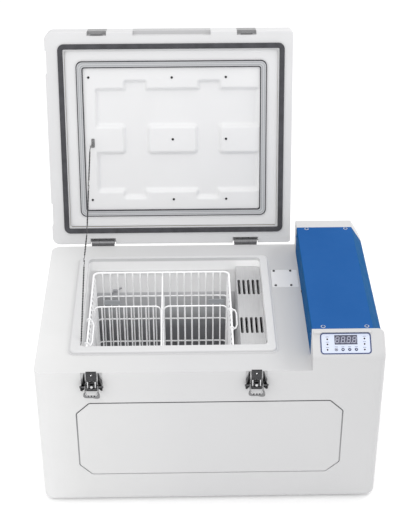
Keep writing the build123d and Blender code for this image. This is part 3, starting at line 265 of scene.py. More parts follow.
def lid_white():
    """The lid's white; the scoop and the two catch pockets in its front edge are painted greyer, painted shade in
    these recesses.
    """
    m = Mat("lid_white", srgb(213, 213, 214), 0.42, spec=0.45)
    base = m.ramp(m.noise(5, 3), [(0.35, srgb(212, 212, 213)), (0.65, srgb(216, 216, 217))])
    sep = m.nt.nodes.new("ShaderNodeSeparateXYZ")
    m.nt.links.new(m.tc.outputs["Object"], sep.inputs[0])
    c, n = -math.cos(OPEN), math.sin(OPEN)
    far = math_node(m, "ADD", math_node(m, "MULTIPLY", sep.outputs["Y"], c), math_node(m, "MULTIPLY", sep.outputs["Z"], n))
    s0 = (AX_Y - YC) / 1000 * c + AX_Z / 1000 * n
    edge = m.grey(far, 0.0, 1.0, s0 + 0.5091, s0 + 0.5099)
    # painted shade: the scoop and catch pockets are painted grey where shade falls in them
    for x0, x1, recess_shade_tone in ((209, 393.5, 186), (101, 147, 150), (455.5, 501.5, 150)):
        painted_shade_mask = math_node(m, "MULTIPLY", edge, math_node(m, "MULTIPLY", band(m, "X", (x0 - 0.2 - XC) / 1000, (x0 + 0.4 - XC) / 1000), band(m, "X", (x1 + 0.2 - XC) / 1000, (x1 - 0.4 - XC) / 1000)))
        mix = m.nt.nodes.new("ShaderNodeMix")
        mix.data_type = "RGBA"
        m.nt.links.new(painted_shade_mask, mix.inputs["Factor"])
        m.nt.links.new(base, mix.inputs[6])
        mix.inputs[7].default_value = srgb(recess_shade_tone, recess_shade_tone, recess_shade_tone + 1)
        base = mix.outputs[2]
    m.colour(base)
    m.roughness(m.noise(60, 5), 0.36, 0.50)
    m.bump(m.noise(7, 2), 0.10, 0.002)
    m.bump(m.noise(1500, 2), 0.10, 0.00012)
    return m.m


MAT["lidwhite"] = lid_white()
MAT["panel"] = white_plastic("lid_panel_white", srgb(225, 225, 226), 0.38, 1600, 0.08, 0.015)


def liner(name):
    """Two tones: a light band at the top of the tub, painted brighter than the shell as painted light, and a darker
    satin lining below it, painted darker towards the floor of the tub as painted shade.
    """
    m = Mat(name, srgb(206, 208, 212), 0.34, spec=0.45)
    n = m.grey(m.noise(9, 4), -0.03, 0.03)
    # painted shade: the lining is painted darker towards the floor of the tub
    low = m.ramp(math_node(m, "ADD", band(m, "Z", 0.06, 0.285), n), [(0.0, srgb(112, 113, 116)), (0.5, srgb(130, 131, 134)), (0.75, srgb(188, 189, 191)), (1.0, srgb(222, 222, 224))])
    # painted light: the top band is painted near white
    up = m.ramp(m.noise(9, 4), [(0.3, srgb(249, 249, 249)), (0.7, srgb(253, 253, 253))])
    mix = m.nt.nodes.new("ShaderNodeMix")
    mix.data_type = "RGBA"
    m.nt.links.new(band(m, "Z", 0.2805, 0.2825), mix.inputs["Factor"])
    m.nt.links.new(low, mix.inputs[6])
    m.nt.links.new(up, mix.inputs[7])
    m.colour(mix.outputs[2])
    m.roughness(m.noise(60, 4), 0.28, 0.44)
    m.bump(m.noise(1300, 2), 0.07, 0.00012)
    return m.m


MAT["liner"] = liner("liner_grey")


def cover_blue():
    """Powder-coated blue; the bent-down sides are painted a shade deeper than the top, painted shade on the faces
    turned away from the light.
    """
    m = Mat("cover_blue", srgb(30, 86, 152), 0.62, spec=0.04)
    n = m.nt.nodes.new("ShaderNodeSeparateXYZ")
    m.nt.links.new(m.tc.outputs["Normal"], n.inputs[0])
    # painted shade: faces turned sideways get the deeper blue
    side = m.grey(math_node(m, "ABSOLUTE", n.outputs["X"]), 0.0, 1.0, 0.25, 0.55)
    top = m.ramp(m.noise(5, 3), [(0.35, srgb(34, 86, 149)), (0.65, srgb(38, 90, 153))])
    mix = m.nt.nodes.new("ShaderNodeMix")
    mix.data_type = "RGBA"
    m.nt.links.new(side, mix.inputs["Factor"])
    m.nt.links.new(top, mix.inputs[6])
    mix.inputs[7].default_value = srgb(12, 84, 138)
    m.colour(mix.outputs[2])
    m.roughness(m.noise(60, 5), 0.58, 0.72)
    m.bump(m.noise(7, 2), 0.08, 0.002)
    m.bump(m.noise(1300, 2), 0.12, 0.00012)
    return m.m


MAT["blue"] = cover_blue()


def rubber(name, base, rough=0.62):
    m = Mat(name, base, rough, spec=0.35)
    m.vary(m.noise(40, 4), 0.18)
    m.roughness(m.noise(180, 4), rough - 0.1, rough + 0.12)
    m.bump(m.noise(900, 3), 0.15, 0.0002)
    return m.m


MAT["seal"] = rubber("seal_rubber", srgb(66, 66, 70))
MAT["sealgrey"] = white_plastic("seal_grey", srgb(188, 189, 191), 0.5, 900, 0.10, 0.02, 0.3)
MAT["foot"] = rubber("foot_rubber", srgb(28, 28, 30))
MAT["black"] = rubber("fan_black", srgb(30, 30, 33), 0.5)
MAT["chrome"] = metal("latch_steel", (0.62, 0.62, 0.64, 1), 0.20, (40, 40, 200), 3, 0.04, 0.10)
MAT["chain"] = metal("chain_steel", (0.075, 0.075, 0.078, 1), 0.34, (90, 90, 90), 8, 0.05, 0.2)
MAT["steel"] = metal("dark_steel", (0.24, 0.24, 0.245, 1), 0.30, (60, 60, 200), 4, 0.06, 0.25)
MAT["hinge"] = metal("hinge_steel", (0.17, 0.17, 0.175, 1), 0.36, (200, 40, 40), 4, 0.06, 0.2)
MAT["lever"] = metal("lever_steel", (0.26, 0.26, 0.265, 1), 0.38, (60, 60, 200), 4, 0.06, 0.2)
MAT["bead"] = metal("bead_steel", (0.062, 0.062, 0.065, 1), 0.30, (60, 60, 60), 8, 0.03, 0.2)
MAT["pin"] = metal("pin_steel", (0.10, 0.10, 0.105, 1), 0.32, (60, 60, 200), 4, 0.05, 0.2)
MAT["claw"] = metal("claw_steel", (0.065, 0.065, 0.068, 1), 0.34, (60, 60, 200), 5, 0.08, 0.35)
MAT["nut"] = metal("nut_steel", (0.62, 0.62, 0.63, 1), 0.30, (60, 60, 200), 4, 0.05, 0.15)
MAT["bright"] = metal("bright_steel", (0.80, 0.80, 0.81, 1), 0.24, (60, 60, 200), 4, 0.04, 0.06)
MAT["dark_screw"] = metal("dark_screw_steel", (0.035, 0.035, 0.037, 1), 0.40, (60, 60, 60), 8, 0.05, 0.12)


def latch_base():
    """Back plate pale; the ears that stand forward of it are painted dark, painted shade."""
    m = Mat("latch_base_steel", (0.3, 0.3, 0.3, 1), 0.34, metallic=1.0)
    y0 = -YC / 1000
    # painted shade: the parts standing forward of the plate, the ears, are painted dark
    h = math_node(m, "ADD", band(m, "Y", y0 - 0.0036, y0 - 0.0014), m.grey(m.noise(90, 4), -0.12, 0.12))
    m.colour(m.ramp(h, [(0.0, (0.11, 0.11, 0.113, 1)), (0.3, (0.15, 0.15, 0.153, 1)), (0.85, (0.40, 0.40, 0.405, 1)), (1.0, (0.46, 0.46, 0.465, 1))]))
    m.roughness(m.noise(120, 4), 0.26, 0.44)
    m.bump(m.noise(300, 3), 0.08, 0.0001)
    return m.m


MAT["latchbase"] = latch_base()


def screws():
    """Deck and latch screws are dark steel; those in the blue cover are painted with it."""
    m = Mat("screw_steel", (0.1, 0.1, 0.1, 1), 0.34, metallic=1.0)
    n = m.grey(m.noise(400, 3), -0.1, 0.1)
    h = math_node(m, "ADD", band(m, "Z", 0.385, 0.435), n)
    m.colour(m.ramp(h, [(0.0, (0.085, 0.085, 0.088, 1)), (0.3, (0.12, 0.12, 0.123, 1)), (0.7, srgb(64, 104, 160)), (1.0, srgb(70, 112, 170))]))
    m.roughness(m.noise(200, 3), 0.30, 0.46)
    m.bump(m.noise(900, 2), 0.06, 0.0001)
    return m.m


MAT["screw"] = screws()
MAT["duct"] = metal("duct_steel", (0.68, 0.68, 0.685, 1), 0.48, (300, 8, 8), 2, 0.05, 0.06)
MAT["zinc"] = metal("zinc_plate", (0.60, 0.62, 0.64, 1), 0.42, (20, 20, 20), 6, 0.06, 0.14)
MAT["alu"] = metal("coil_aluminium", (0.72, 0.72, 0.74, 1), 0.34, (30, 200, 30), 4, 0.05, 0.08)
MAT["copper"] = metal("copper_pipe", (0.82, 0.42, 0.26, 1), 0.26, (40, 40, 40), 5, 0.04, 0.15)


def coated(name, base, rough=0.3):
    m = Mat(name, base, rough, spec=0.5, coat=0.25, coat_rough=0.15)
    # painted light: the basket's white coat glows faintly, standing in for light on the wires inside the tub
    if name == "basket_coat":
        m.b.inputs["Emission Color"].default_value = (1, 1, 1, 1)
        m.b.inputs["Emission Strength"].default_value = 0.09
    m.vary(m.noise(30, 4), 0.04)
    m.roughness(m.noise(220, 3), rough - 0.08, rough + 0.1)
    m.bump(m.noise(420, 3), 0.12, 0.0002)
    return m.m


MAT["basket"] = coated("basket_coat", srgb(248, 248, 249))
MAT["comp"] = coated("compressor_black", (0.014, 0.014, 0.015, 1), 0.4)
MAT["tag"] = white_plastic("tag_grey", srgb(186, 189, 193), 0.45)
MAT["rib"] = white_plastic("rib_grey", srgb(130, 134, 140), 0.45)
MAT["grille"] = white_plastic("grille_grey", srgb(150, 153, 158), 0.5)


def foam(name, base):
    m = Mat(name, base, 0.85, spec=0.2)
    v = m.voronoi(260)
    m.vary(m.noise(30, 5), 0.12)
    m.bump(v, 0.5, 0.0012)
    return m.m


MAT["foam"] = foam("foam", srgb(226, 214, 176))


def board(name):
    m = Mat(name, srgb(18, 84, 48), 0.4, coat=0.3)
    v = m.voronoi(300)
    m.colour(m.ramp(v, [(0.25, srgb(24, 98, 56)), (0.35, srgb(12, 62, 36))]))
    m.bump(v, 0.2, 0.0002)
    return m.m


MAT["board"] = board("board_green")


def fascia(name):
    """Printed film: pale blue field."""
    m = Mat(name, srgb(208, 216, 235), 0.30, coat=0.35, coat_rough=0.12)
    m.vary(m.noise(25, 4), 0.02)
    m.roughness(m.noise(120, 3), 0.26, 0.36)
    m.bump(m.noise(800, 2), 0.05, 0.0001)
    return m.m


MAT["fascia"] = fascia("fascia_film")


def display(name):
    m = Mat(name, srgb(66, 68, 88), 0.30, coat=0.5, coat_rough=0.12)
    m.vary(m.noise(90, 3), 0.08)
    m.bump(m.noise(60, 2), 0.03, 0.0002)
    return m.m


MAT["display"] = display("display_glass")
MAT["display"].node_tree.nodes["Principled BSDF"].inputs["Coat Roughness"].default_value = 0.12


def lamp(name, base):
    m = Mat(name, base, 0.22, coat=0.5)
    m.vary(m.voronoi(900), 0.15)
    m.bump(m.noise(500, 2), 0.05, 0.0001)
    return m.m


MAT["led"] = white_plastic("led_lens", srgb(24, 27, 42), 0.6, 1800, 0.05, 0.1, 0.08)
MAT["btn"] = white_plastic("button_blue", srgb(48, 58, 92), 0.42, 1800, 0.08, 0.05)
MAT["navy"] = white_plastic("print_navy", srgb(24, 44, 98), 0.38, 1800, 0.05, 0.06)
MAT["inkgrey"] = white_plastic("print_grey", srgb(70, 76, 110), 0.4, 1800, 0.05, 0.06)
MAT["probe"] = metal("probe_steel", (0.55, 0.55, 0.57, 1), 0.32, (30, 30, 30), 5, 0.05, 0.1)

NODE_MAT = dict(
    cabinet_shell="white", cabinet_feet="foot", cabinet_insulation="foam", liner_tub="liner", opening_collar="collar",
    machine_cover="blue", deck_plate="plate", cabinet_screws="screw", control_fascia="fascia", control_board="board",
    display_module="display", indicator_leds="led", duct_cover="duct", evaporator="alu", evaporator_fan_frame="black",
    evaporator_fan_rotor="black", temperature_probe="probe", machine_tray="zinc", compressor_grommets="foot",
    compressor="comp", condenser="alu", condenser_fan_shroud="black", condenser_fan_rotor="black", filter_drier="copper",
    refrigerant_tubes="copper", power_supply="zinc", vent_grilles="grille", power_inlet="black", latch_bases="latchbase",
    latch_pivot_pins="pin", latch_lever_left="lever", latch_lever_right="lever", latch_claw_left="claw",
    latch_claw_right="claw", lid_shell="lidwhite", lid_insulation="foam", lid_inner_panel="panel", lid_gasket="seal",
    lid_inner_seal="sealgrey", lid_panel_screws="dark_screw", latch_keepers="lever", chain_hook="steel",
    cabinet_hinge_leaves="hinge", lid_hinge_leaves="hinge", hinge_pins="hinge", chain_anchor="chrome",
    basket_rim="basket", basket_walls="basket", basket_dividers="basket", basket_handle_left="basket",
    basket_handle_right="basket", basket_tags="tag", chain_link_1="chain", chain_link_2="chain", chain_link_3="chain",
    chain_link_4="chain", button_mute="btn", button_set="btn", button_down="btn", button_up="btn")

for node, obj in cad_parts.items():
    for s in obj.material_slots:
        s.material = MAT[NODE_MAT[node]]

# ---------------------------------------------------------------------------
# Camera, floor and light
# ---------------------------------------------------------------------------
cam_data = bpy.data.cameras.new("camera")
cam = bpy.data.objects.new("camera", cam_data)
bpy.context.collection.objects.link(cam)
cam_data.sensor_width = 36
cam_data.lens = 87.69
pitch, yaw = math.radians(33.14), math.radians(1.14)
fwd = Vector((math.sin(yaw) * math.cos(pitch), math.cos(yaw) * math.cos(pitch), -math.sin(pitch)))
right = Vector((math.cos(yaw), -math.sin(yaw), 0))
up = right.cross(fwd)
cam.matrix_world = Matrix.Translation(P(330.7, -2128.6, 2053.5)) @ Matrix((right, up, -fwd)).transposed().to_4x4()
cam_data.clip_start, cam_data.clip_end = 0.05, 50
bpy.context.scene.camera = cam


def mesh_obj(name, verts, faces, mat, smooth=False):
    me = bpy.data.meshes.new(name)
    me.from_pydata([tuple(v) for v in verts], [], faces)
    me.update()
    me.materials.append(mat)
    if smooth:
        for p in me.polygons:
            p.use_smooth = True
    o = bpy.data.objects.new(name, me)
    bpy.context.collection.objects.link(o)
    return o


floor_mat = Mat("floor", srgb(252, 252, 252), 0.6, spec=0.2)
floor_mat.vary(floor_mat.noise(0.8, 2), 0.005)
floor_mat.b.inputs["Emission Color"].default_value = (1, 1, 1, 1)
floor_mat.b.inputs["Emission Strength"].default_value = 0.10
floor = mesh_obj("floor", [(-14, -14, 0), (14, -14, 0), (14, 14, 0), (-14, 14, 0)], [(0, 1, 2, 3)], floor_mat.m)
floor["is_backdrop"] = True

world = bpy.data.worlds.new("studio")
bpy.context.scene.world = world
world.use_nodes = True
bg = world.node_tree.nodes["Background"]
bg.inputs[0].default_value = (1.0, 1.0, 1.0, 1)
bg.inputs[1].default_value = 0.95
bpy.context.scene.view_settings.view_transform = "Standard"


def area(name, loc, target, size, power, color=(1, 1, 1)):
    d = bpy.data.lights.new(name, "AREA")
    d.shape = "RECTANGLE"
    d.size, d.size_y = size
    d.energy = power
    d.color = color
    o = bpy.data.objects.new(name, d)
    bpy.context.collection.objects.link(o)
    o.location = loc
    o.rotation_euler = (Vector(target) - Vector(loc)).to_track_quat("-Z", "Y").to_euler()
    return o


area("key", (-0.4, -1.9, 2.6), (-0.05, 0.1, 0.3), (1.0, 1.0), 14)
area("right", (1.5, 0.5, 1.7), (0.1, 0, 0.4), (0.6, 0.6), 8.5)
area("top", (-0.1, -0.1, 2.6), (0.0, 0.0, 0.3), (1.0, 1.0), 4)
area("left", (-1.7, -1.7, 0.9), (-0.3, -0.3, 0.25), (0.6, 0.6), 1.5)


# ---------------------------------------------------------------------------
# Mesh tools
# ---------------------------------------------------------------------------
class Geo:
    """Collects vertices and faces for one piece."""

    def __init__(self):
        self.v, self.f = [], []

    def add(self, verts, faces):
        n = len(self.v)
        self.v += [Vector(p) for p in verts]
        self.f += [tuple(i + n for i in f) for f in faces]

    def tube(self, pts, r, n=10, closed=False, rr=None):
        """A round tube along points; rr gives a radius per point."""
        pts = [Vector(p) for p in pts]
        m = len(pts)
        tang = []
        for i in range(m):
            a = pts[(i - 1) % m] if closed or i > 0 else pts[i]
            b = pts[(i + 1) % m] if closed or i < m - 1 else pts[i]
            tang.append((b - a).normalized())
        t0 = tang[0]
        ref = Vector((0, 0, 1)) if abs(t0.z) < 0.9 else Vector((1, 0, 0))
        nrm = (ref - t0 * ref.dot(t0)).normalized()
        verts, faces = [], []
        for i in range(m):
            if i:
                q = tang[i - 1].rotation_difference(tang[i])
                nrm = (q @ nrm)
                nrm = (nrm - tang[i] * nrm.dot(tang[i])).normalized()
            bn = tang[i].cross(nrm)
            rad = rr[i] if rr else r
            for k in range(n):
                a = 2 * math.pi * k / n
                verts.append(pts[i] + (nrm * math.cos(a) + bn * math.sin(a)) * rad)
        off = 0
        if closed:
            # match the seam's twist
            q = tang[-1].rotation_difference(tang[0])
            e = (q @ nrm)
            s = verts[0] - pts[0]
            bn = tang[0].cross(e)
            ang = math.atan2(s.dot(bn), s.dot(e))
            off = round(ang / (2 * math.pi) * n) % n
        for i in range(m - (0 if closed else 1)):
            j = (i + 1) % m
            sh = off if (closed and j == 0) else 0
            for k in range(n):
                k2 = (k + 1) % n
                if sh:
                    faces.append((i * n + (k + sh) % n, i * n + (k2 + sh) % n, j * n + k2, j * n + k))
                else:
                    faces.append((i * n + k, i * n + k2, j * n + k2, j * n + k))
        if not closed:
            faces.append(tuple(range(n - 1, -1, -1)))
            faces.append(tuple((m - 1) * n + k for k in range(n)))
        self.add(verts, faces)

    def loft(self, rings, cap=True):
        """Joins rings of equal length into a closed skin."""
        n = len(rings[0])
        verts = [p for r in rings for p in r]
        faces = []
        for i in range(len(rings) - 1):
            for k in range(n):
                k2 = (k + 1) % n
                faces.append((i * n + k, i * n + k2, (i + 1) * n + k2, (i + 1) * n + k))
        if cap:
            faces.append(tuple(range(n - 1, -1, -1)))
            faces.append(tuple((len(rings) - 1) * n + k for k in range(n)))
        self.add(verts, faces)

    def prism(self, outline, to, h0, h1, bevel=0.0):
        """An outline of (u, v) points raised from h0 to h1; to(u, v, h) places it."""
        if bevel:
            c = (sum(p[0] for p in outline) / len(outline), sum(p[1] for p in outline) / len(outline))
            small = offset_poly(outline, bevel)
            rings = [[to(u, v, h0) for u, v in outline], [to(u, v, h1 - bevel) for u, v in outline],
                     [to(u, v, h1) for u, v in small]]
        else:
            rings = [[to(u, v, h0) for u, v in outline], [to(u, v, h1) for u, v in outline]]
        self.loft(rings)

    def lathe(self, prof, origin, axis, n=24):
        """A (radius, height) profile turned round an axis."""
        axis = Vector(axis).normalized()
        ref = Vector((0, 0, 1)) if abs(axis.z) < 0.9 else Vector((1, 0, 0))
        u = (ref - axis * ref.dot(axis)).normalized()
        w = axis.cross(u)
        o = Vector(origin)
        rings = []
        for r, h in prof:
            rings.append([o + axis * h + (u * math.cos(2 * math.pi * k / n) + w * math.sin(2 * math.pi * k / n)) * max(r, 1e-6) for k in range(n)])
        self.loft(rings)

    def make(self, name, mat, body, replaces=(), slot=None, angle=35):
        me = bpy.data.meshes.new(name)
        me.from_pydata([tuple(v) for v in self.v], [], self.f)
        me.update()
        bm = bmesh.new()
        bm.from_mesh(me)
        bmesh.ops.remove_doubles(bm, verts=bm.verts, dist=1e-7)
        bmesh.ops.recalc_face_normals(bm, faces=bm.faces)
        bm.to_mesh(me)
        bm.free()
        for p in me.polygons:
            p.use_smooth = True
        me.set_sharp_from_angle(angle=math.radians(angle))
        me.materials.append(mat)
        o = bpy.data.objects.new(name, me)
        bpy.context.collection.objects.link(o)
        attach(o, body)
        if replaces:
            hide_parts(*replaces)
        return o


def offset_poly(pts, d):
    """An outline moved inward by d (outward if d is negative)."""
    n = len(pts)
    area2 = sum(pts[i][0] * pts[(i + 1) % n][1] - pts[(i + 1) % n][0] * pts[i][1] for i in range(n))
    sgn = 1 if area2 > 0 else -1
    out = []
    for i in range(n):
        (ax, ay), (bx, by), (cx, cy) = pts[i - 1], pts[i], pts[(i + 1) % n]
        ux, uy = bx - ax, by - ay
        vx, vy = cx - bx, cy - by
        lu, lv = math.hypot(ux, uy) or 1, math.hypot(vx, vy) or 1
        n1 = (-uy / lu * sgn, ux / lu * sgn)
        n2 = (-vy / lv * sgn, vx / lv * sgn)
        k = 1 + n1[0] * n2[0] + n1[1] * n2[1]
        k = max(k, 0.3)
        out.append((bx + (n1[0] + n2[0]) * d / k, by + (n1[1] + n2[1]) * d / k))
    return out


def rounded(pts, r, closed=False, n=6):
    """A run of points with its corners turned into arcs. Works in 2 or 3 dimensions."""
    pts = [Vector(p) for p in pts]
    m = len(pts)
    out = []
    for i in range(m):
        if not closed and (i == 0 or i == m - 1):
            out.append(pts[i])
            continue
        p, a, b = pts[i], pts[i - 1], pts[(i + 1) % m]
        rad = r[i] if isinstance(r, (list, tuple)) else r
        u, w = (a - p), (b - p)
        lu, lw = u.length, w.length
        u, w = u / lu, w / lw
        ang = math.acos(max(-1, min(1, u.dot(w))))
        if rad <= 0 or ang > math.radians(176):
            out.append(p)
            continue
        t = min(rad / math.tan(ang / 2), lu * 0.49, lw * 0.49)
        rad = t * math.tan(ang / 2)
        c = p + (u + w).normalized() * (rad / math.sin(ang / 2))
        s, e = p + u * t - c, p + w * t - c
        tot = math.acos(max(-1, min(1, s.normalized().dot(e.normalized()))))
        for k in range(n + 1):
            f = k / n
            out.append(c + (s * math.sin((1 - f) * tot) + e * math.sin(f * tot)) / math.sin(tot))
    return out


def rrect(x0, x1, y0, y1, r, n=6):
    """Rounded rectangle outline, (u, v) pairs."""
    return [(p[0], p[1]) for p in rounded([(x0, y0, 0), (x1, y0, 0), (x1, y1, 0), (x0, y1, 0)], r, True, n)]


def mm(x):
    return x / 1000


# ---------------------------------------------------------------------------
# Wire basket
# ---------------------------------------------------------------------------
BX0, BX1, BY0, BY1, BZ = 105.2, 433.2, 92.5, 428.5, 346.0
RINGS = (278.0, 210.0, 141.0)
BFLOOR = 84.0
CX, CY = 272.0, 291.0


def inward(z):
    """How far the wall leans in at height z."""
    return 2.6 + (BZ - z) / (BZ - BFLOOR) * 2.6


def steps(lo, hi, n):
    return [lo + (hi - lo) * i / n for i in range(1, n)]


XS = steps(BX0 + 3, CX, 9) + [CX] + steps(CX, BX1 - 3, 9)
YS = steps(BY0 + 3, BY1 - 3, 18)
rim = Geo()
rim.tube([P(x, y, BZ) for x, y in rrect(BX0, BX1, BY0, BY1, 14, 8)], mm(2.35), 16, True)
# the butt weld of the rim wire
rim.tube([P(318, BY0, BZ), P(319.5, BY0, BZ), P(321, BY0, BZ), P(322.5, BY0, BZ)], mm(2.3), 16, rr=[mm(2.2), mm(2.5), mm(2.5), mm(2.2)])
rim.make("basket_rim_wire", MAT["basket"], "basket", ["basket_rim"], "basket_coat")

walls = Geo()
for z in RINGS:
    d = inward(z) - 1.4
    walls.tube([P(x, y, z) for x, y in rrect(BX0 + d, BX1 - d, BY0 + d, BY1 - d, 13, 7)], mm(1.95), 12, True)
for x in XS:
    t, b = inward(BZ) + 0.2, inward(BFLOOR) + 2.2
    q = rounded([P(x, BY0 + 1.2, BZ - 0.5), P(x, BY0 + t + 1.4, BZ - 7), P(x, BY0 + b, BFLOOR), P(x, BY1 - b, BFLOOR), P(x, BY1 - t - 1.4, BZ - 7), P(x, BY1 - 1.2, BZ - 0.5)], [0, 0.006, 0.007, 0.007, 0.006, 0], n=5)
    walls.tube(q, mm(1.65), 10)
for y in YS:
    t, b = inward(BZ) + 0.2, inward(BFLOOR) + 2.2
    q = rounded([P(BX0 + 1.2, y, BZ - 0.5), P(BX0 + t + 1.4, y, BZ - 7), P(BX0 + b, y, BFLOOR + 2.7), P(BX1 - b, y, BFLOOR + 2.7), P(BX1 - t - 1.4, y, BZ - 7), P(BX1 - 1.2, y, BZ - 0.5)], [0, 0.006, 0.007, 0.007, 0.006, 0], n=5)
    walls.tube(q, mm(1.65), 10)
walls.make("basket_wall_wires", MAT["basket"], "basket", ["basket_walls"], "basket_coat")

div = Geo()
dz0, dz1 = BFLOOR + 5.0, 342.5
q = rounded([P(CX, BY0 + 8.5, dz0), P(CX, BY0 + 5.0, dz1), P(CX, BY1 - 5.0, dz1), P(CX, BY1 - 8.5, dz0)], [0, 0.012, 0.012, 0], n=6)
div.tube(q, mm(1.8), 12)
for z in RINGS:
    div.tube([P(CX + 2.4, BY0 + 6, z + 0.8), P(CX + 2.4, BY1 - 6, z + 0.8)], mm(1.4), 10)
for y in YS:
    if abs(y - CY) > 4:
        div.tube([P(CX, y, dz0), P(CX, y, dz1)], mm(1.4), 10)
for x0, x1 in ((BX0 + 8.5, CX - 3.4), (CX + 4.6, BX1 - 8.5)):
    q = rounded([P(x0 + 1.0, CY, dz0), P(x0, CY, dz1), P(x1, CY, dz1), P(x1, CY, dz0)], [0, 0.012, 0.012, 0], n=6)
    div.tube(q, mm(1.8), 12)
    div.tube([P(x0 + 1, CY - 2.3, 93.0), P(x1 - 1, CY - 2.3, 93.0)], mm(1.5), 10)
    for x in steps(x0, x1, 9):
        div.tube([P(x, CY, dz0), P(x, CY, dz1)], mm(1.6), 10)
    # open hooks that clip the frame over the walls' wires
    for xe, sg in ((x0, -1), (x1, 1)):
        if abs(xe - CX) > 20:
            div.tube(rounded([P(xe, CY, dz1 - 10), P(xe + sg * 4.5, CY, dz1 - 10), P(xe + sg * 4.5, CY, dz1 - 16)], 0.0012, n=4), mm(1.1), 8)
div.make("basket_divider_wires", MAT["basket"], "basket", ["basket_dividers"], "basket_coat")

# ---------------------------------------------------------------------------
# Lid: vacuum-formed panel with soft-walled relief, and dark rings painted as shade at the seal's edges
# ---------------------------------------------------------------------------
G = (30.9, 568.6, 25.4, 490.1)
PAN = (G[0] + 15.3, G[1] - 15.3, G[2] + 15.3, G[3] - 15.3)
HP = -9.2
IR = (72.7, 526.8, 67.2, 448.3)
REC = (116.7, 509.0, 128.7, 381.8)
ISLANDS = [(REC[0] - 14, 182.2, 226.0, 289.5), (243.7, 356.8, 225.5, 289.0), (417.2, REC[1] + 14, 224.5, 288.5)]
TABS = [(184.6, 239.7, 370.0, 401.4), (362.2, 417.4, 370.0, 400.4), (179.4, 236.1, 111.9, 141.0), (358.0, 412.7, 110.7, 141.0)]


def rect_d(x, s, b, r):
    """Distance from a rounded rectangle, negative inside."""
    qx = abs(x - (b[0] + b[1]) / 2) - (b[1] - b[0]) / 2 + r
    qs = abs(s - (b[2] + b[3]) / 2) - (b[3] - b[2]) / 2 + r
    return math.hypot(max(qx, 0), max(qs, 0)) + min(max(qx, qs), 0) - r


def soft_min(a, b, k):
    h = max(k - abs(a - b), 0) / k
    return min(a, b) - h * h * k * 0.25


def relief(x, s):
    """Depth of the panel's recess at a point, in millimetres."""
    d = rect_d(x, s, REC, 6)
    for b in TABS:
        d = soft_min(d, rect_d(x, s, b, 6), 5)
    for b in ISLANDS:
        d = -soft_min(-d, rect_d(x, s, b, 6), 5)
    t = max(0.0, min(1.0, (3.5 - d) / 11.0))
    return 9.0 * t * t * (3 - 2 * t)


panel = Geo()
NX, NS = 216, 170
top, low = [], []
for j in range(NS + 1):
    for i in range(NX + 1):
        x = PAN[0] + (PAN[1] - PAN[0]) * i / NX
        s = PAN[2] + (PAN[3] - PAN[2]) * j / NS
        top.append(LID(x, s, HP - relief(x, s)))
edge = [(i, 0) for i in range(NX)] + [(NX, j) for j in range(NS)] + [(i, NS) for i in range(NX, 0, -1)] + [(0, j) for j in range(NS, 0, -1)]
faces = []
for j in range(NS):
    for i in range(NX):
        a = j * (NX + 1) + i
        faces.append((a, a + 1, a + NX + 2, a + NX + 1))
n0 = len(top)
for i, j in edge:
    x = PAN[0] + (PAN[1] - PAN[0]) * i / NX
    s = PAN[2] + (PAN[3] - PAN[2]) * j / NS
    low.append(LID(x, s, -19.6))
m_ = len(edge)
for k in range(m_):
    a, b = edge[k], edge[(k + 1) % m_]
    faces.append((a[1] * (NX + 1) + a[0], n0 + k, n0 + (k + 1) % m_, b[1] * (NX + 1) + b[0]))
faces.append(tuple(n0 + k for k in range(m_)))
panel.add(top + low, faces)
panel.make("lid_panel_formed", MAT["panel"], "lid", ["lid_inner_panel"], "collar_white")


def ring_prism(g, outer, inner, to, h0, h1):
    n = len(outer)
    rings = [[to(*p, h0) for p in outer], [to(*p, h1) for p in outer], [to(*p, h1) for p in inner], [to(*p, h0) for p in inner]]
    verts = [p for r in rings for p in r]
    faces = []
    for i in range(4):
        j = (i + 1) % 4
        for k in range(n):
            k2 = (k + 1) % n
            faces.append((i * n + k, i * n + k2, j * n + k2, j * n + k))
    g.add(verts, faces)


def lid_ring(g, d0, d1, h0, h1):
    """A thin ring on the inner seal, from d0 to d1 in from its outer edge."""
    r0, r1 = max(14 - d0, 2), max(14 - d1 * 0.62, 2)
    ring_prism(g, rrect(IR[0] + d0, IR[1] - d0, IR[2] + d0, IR[3] - d0, max(14 - d0 * 0.55, 2), 10),
               rrect(IR[0] + d1, IR[1] - d1, IR[2] + d1, IR[3] - d1, max(14 - d1 * 0.55, 2), 10), LID, h0, h1)


# painted shade: dark rings on the inner seal's outer and inner edges stand in for shade in the crevices there
seal_shade_rings = Geo()
lid_ring(seal_shade_rings, -0.5, 1.7, HP + 0.05, HP + 4.4)
lid_ring(seal_shade_rings, 13.0, 15.6, HP + 0.05, HP + 4.4)
seal_shade_rings.make("seal_edge_shade_rings", MAT["seal"], "lid", slot="seal_rubber")
ribs = Geo()
lid_ring(ribs, 4.4, 5.1, HP + 4.2, HP + 4.5)
lid_ring(ribs, 9.4, 10.3, HP + 4.2, HP + 4.5)
ribs.make("seal_ribs", MAT["rib"], "lid", slot="tag_grey")

# ---------------------------------------------------------------------------
# Control face: printed border, digits, labels and symbols
# ---------------------------------------------------------------------------
MAT["segment"] = lamp("display_segment", srgb(176, 178, 196))
PX0, PX1, PV0, PV1 = 615.0, 724.5, -57.5, -9.5


border = Geo()
ring_prism(border, rrect(PX0 + 0.3, PX1 - 0.3, PV0 + 0.3, PV1 - 0.3, 7.2, 8), rrect(PX0 + 2.7, PX1 - 2.7, PV0 + 2.5, PV1 - 2.5, 5.2, 8), SLP, 0.36, 0.52)
border.make("fascia_border", MAT["navy"], "cabinet", slot="button_blue")

digits = Geo()
DH, DW, DT = 14.0, 7.4, 1.45


def seg(g, cx, cv, horizontal, length):
    t = DT / 2
    L = length / 2
    pts = [(-L, 0), (-L + t, -t), (L - t, -t), (L, 0), (L - t, t), (-L + t, t)]
    if not horizontal:
        pts = [(v, u) for u, v in pts]
    sh = math.tan(math.radians(8))
    o = [(cx + u + (cv + v + 25.25) * sh, cv + v) for u, v in pts]
    g.prism(o, SLP, 0.05, 0.24)


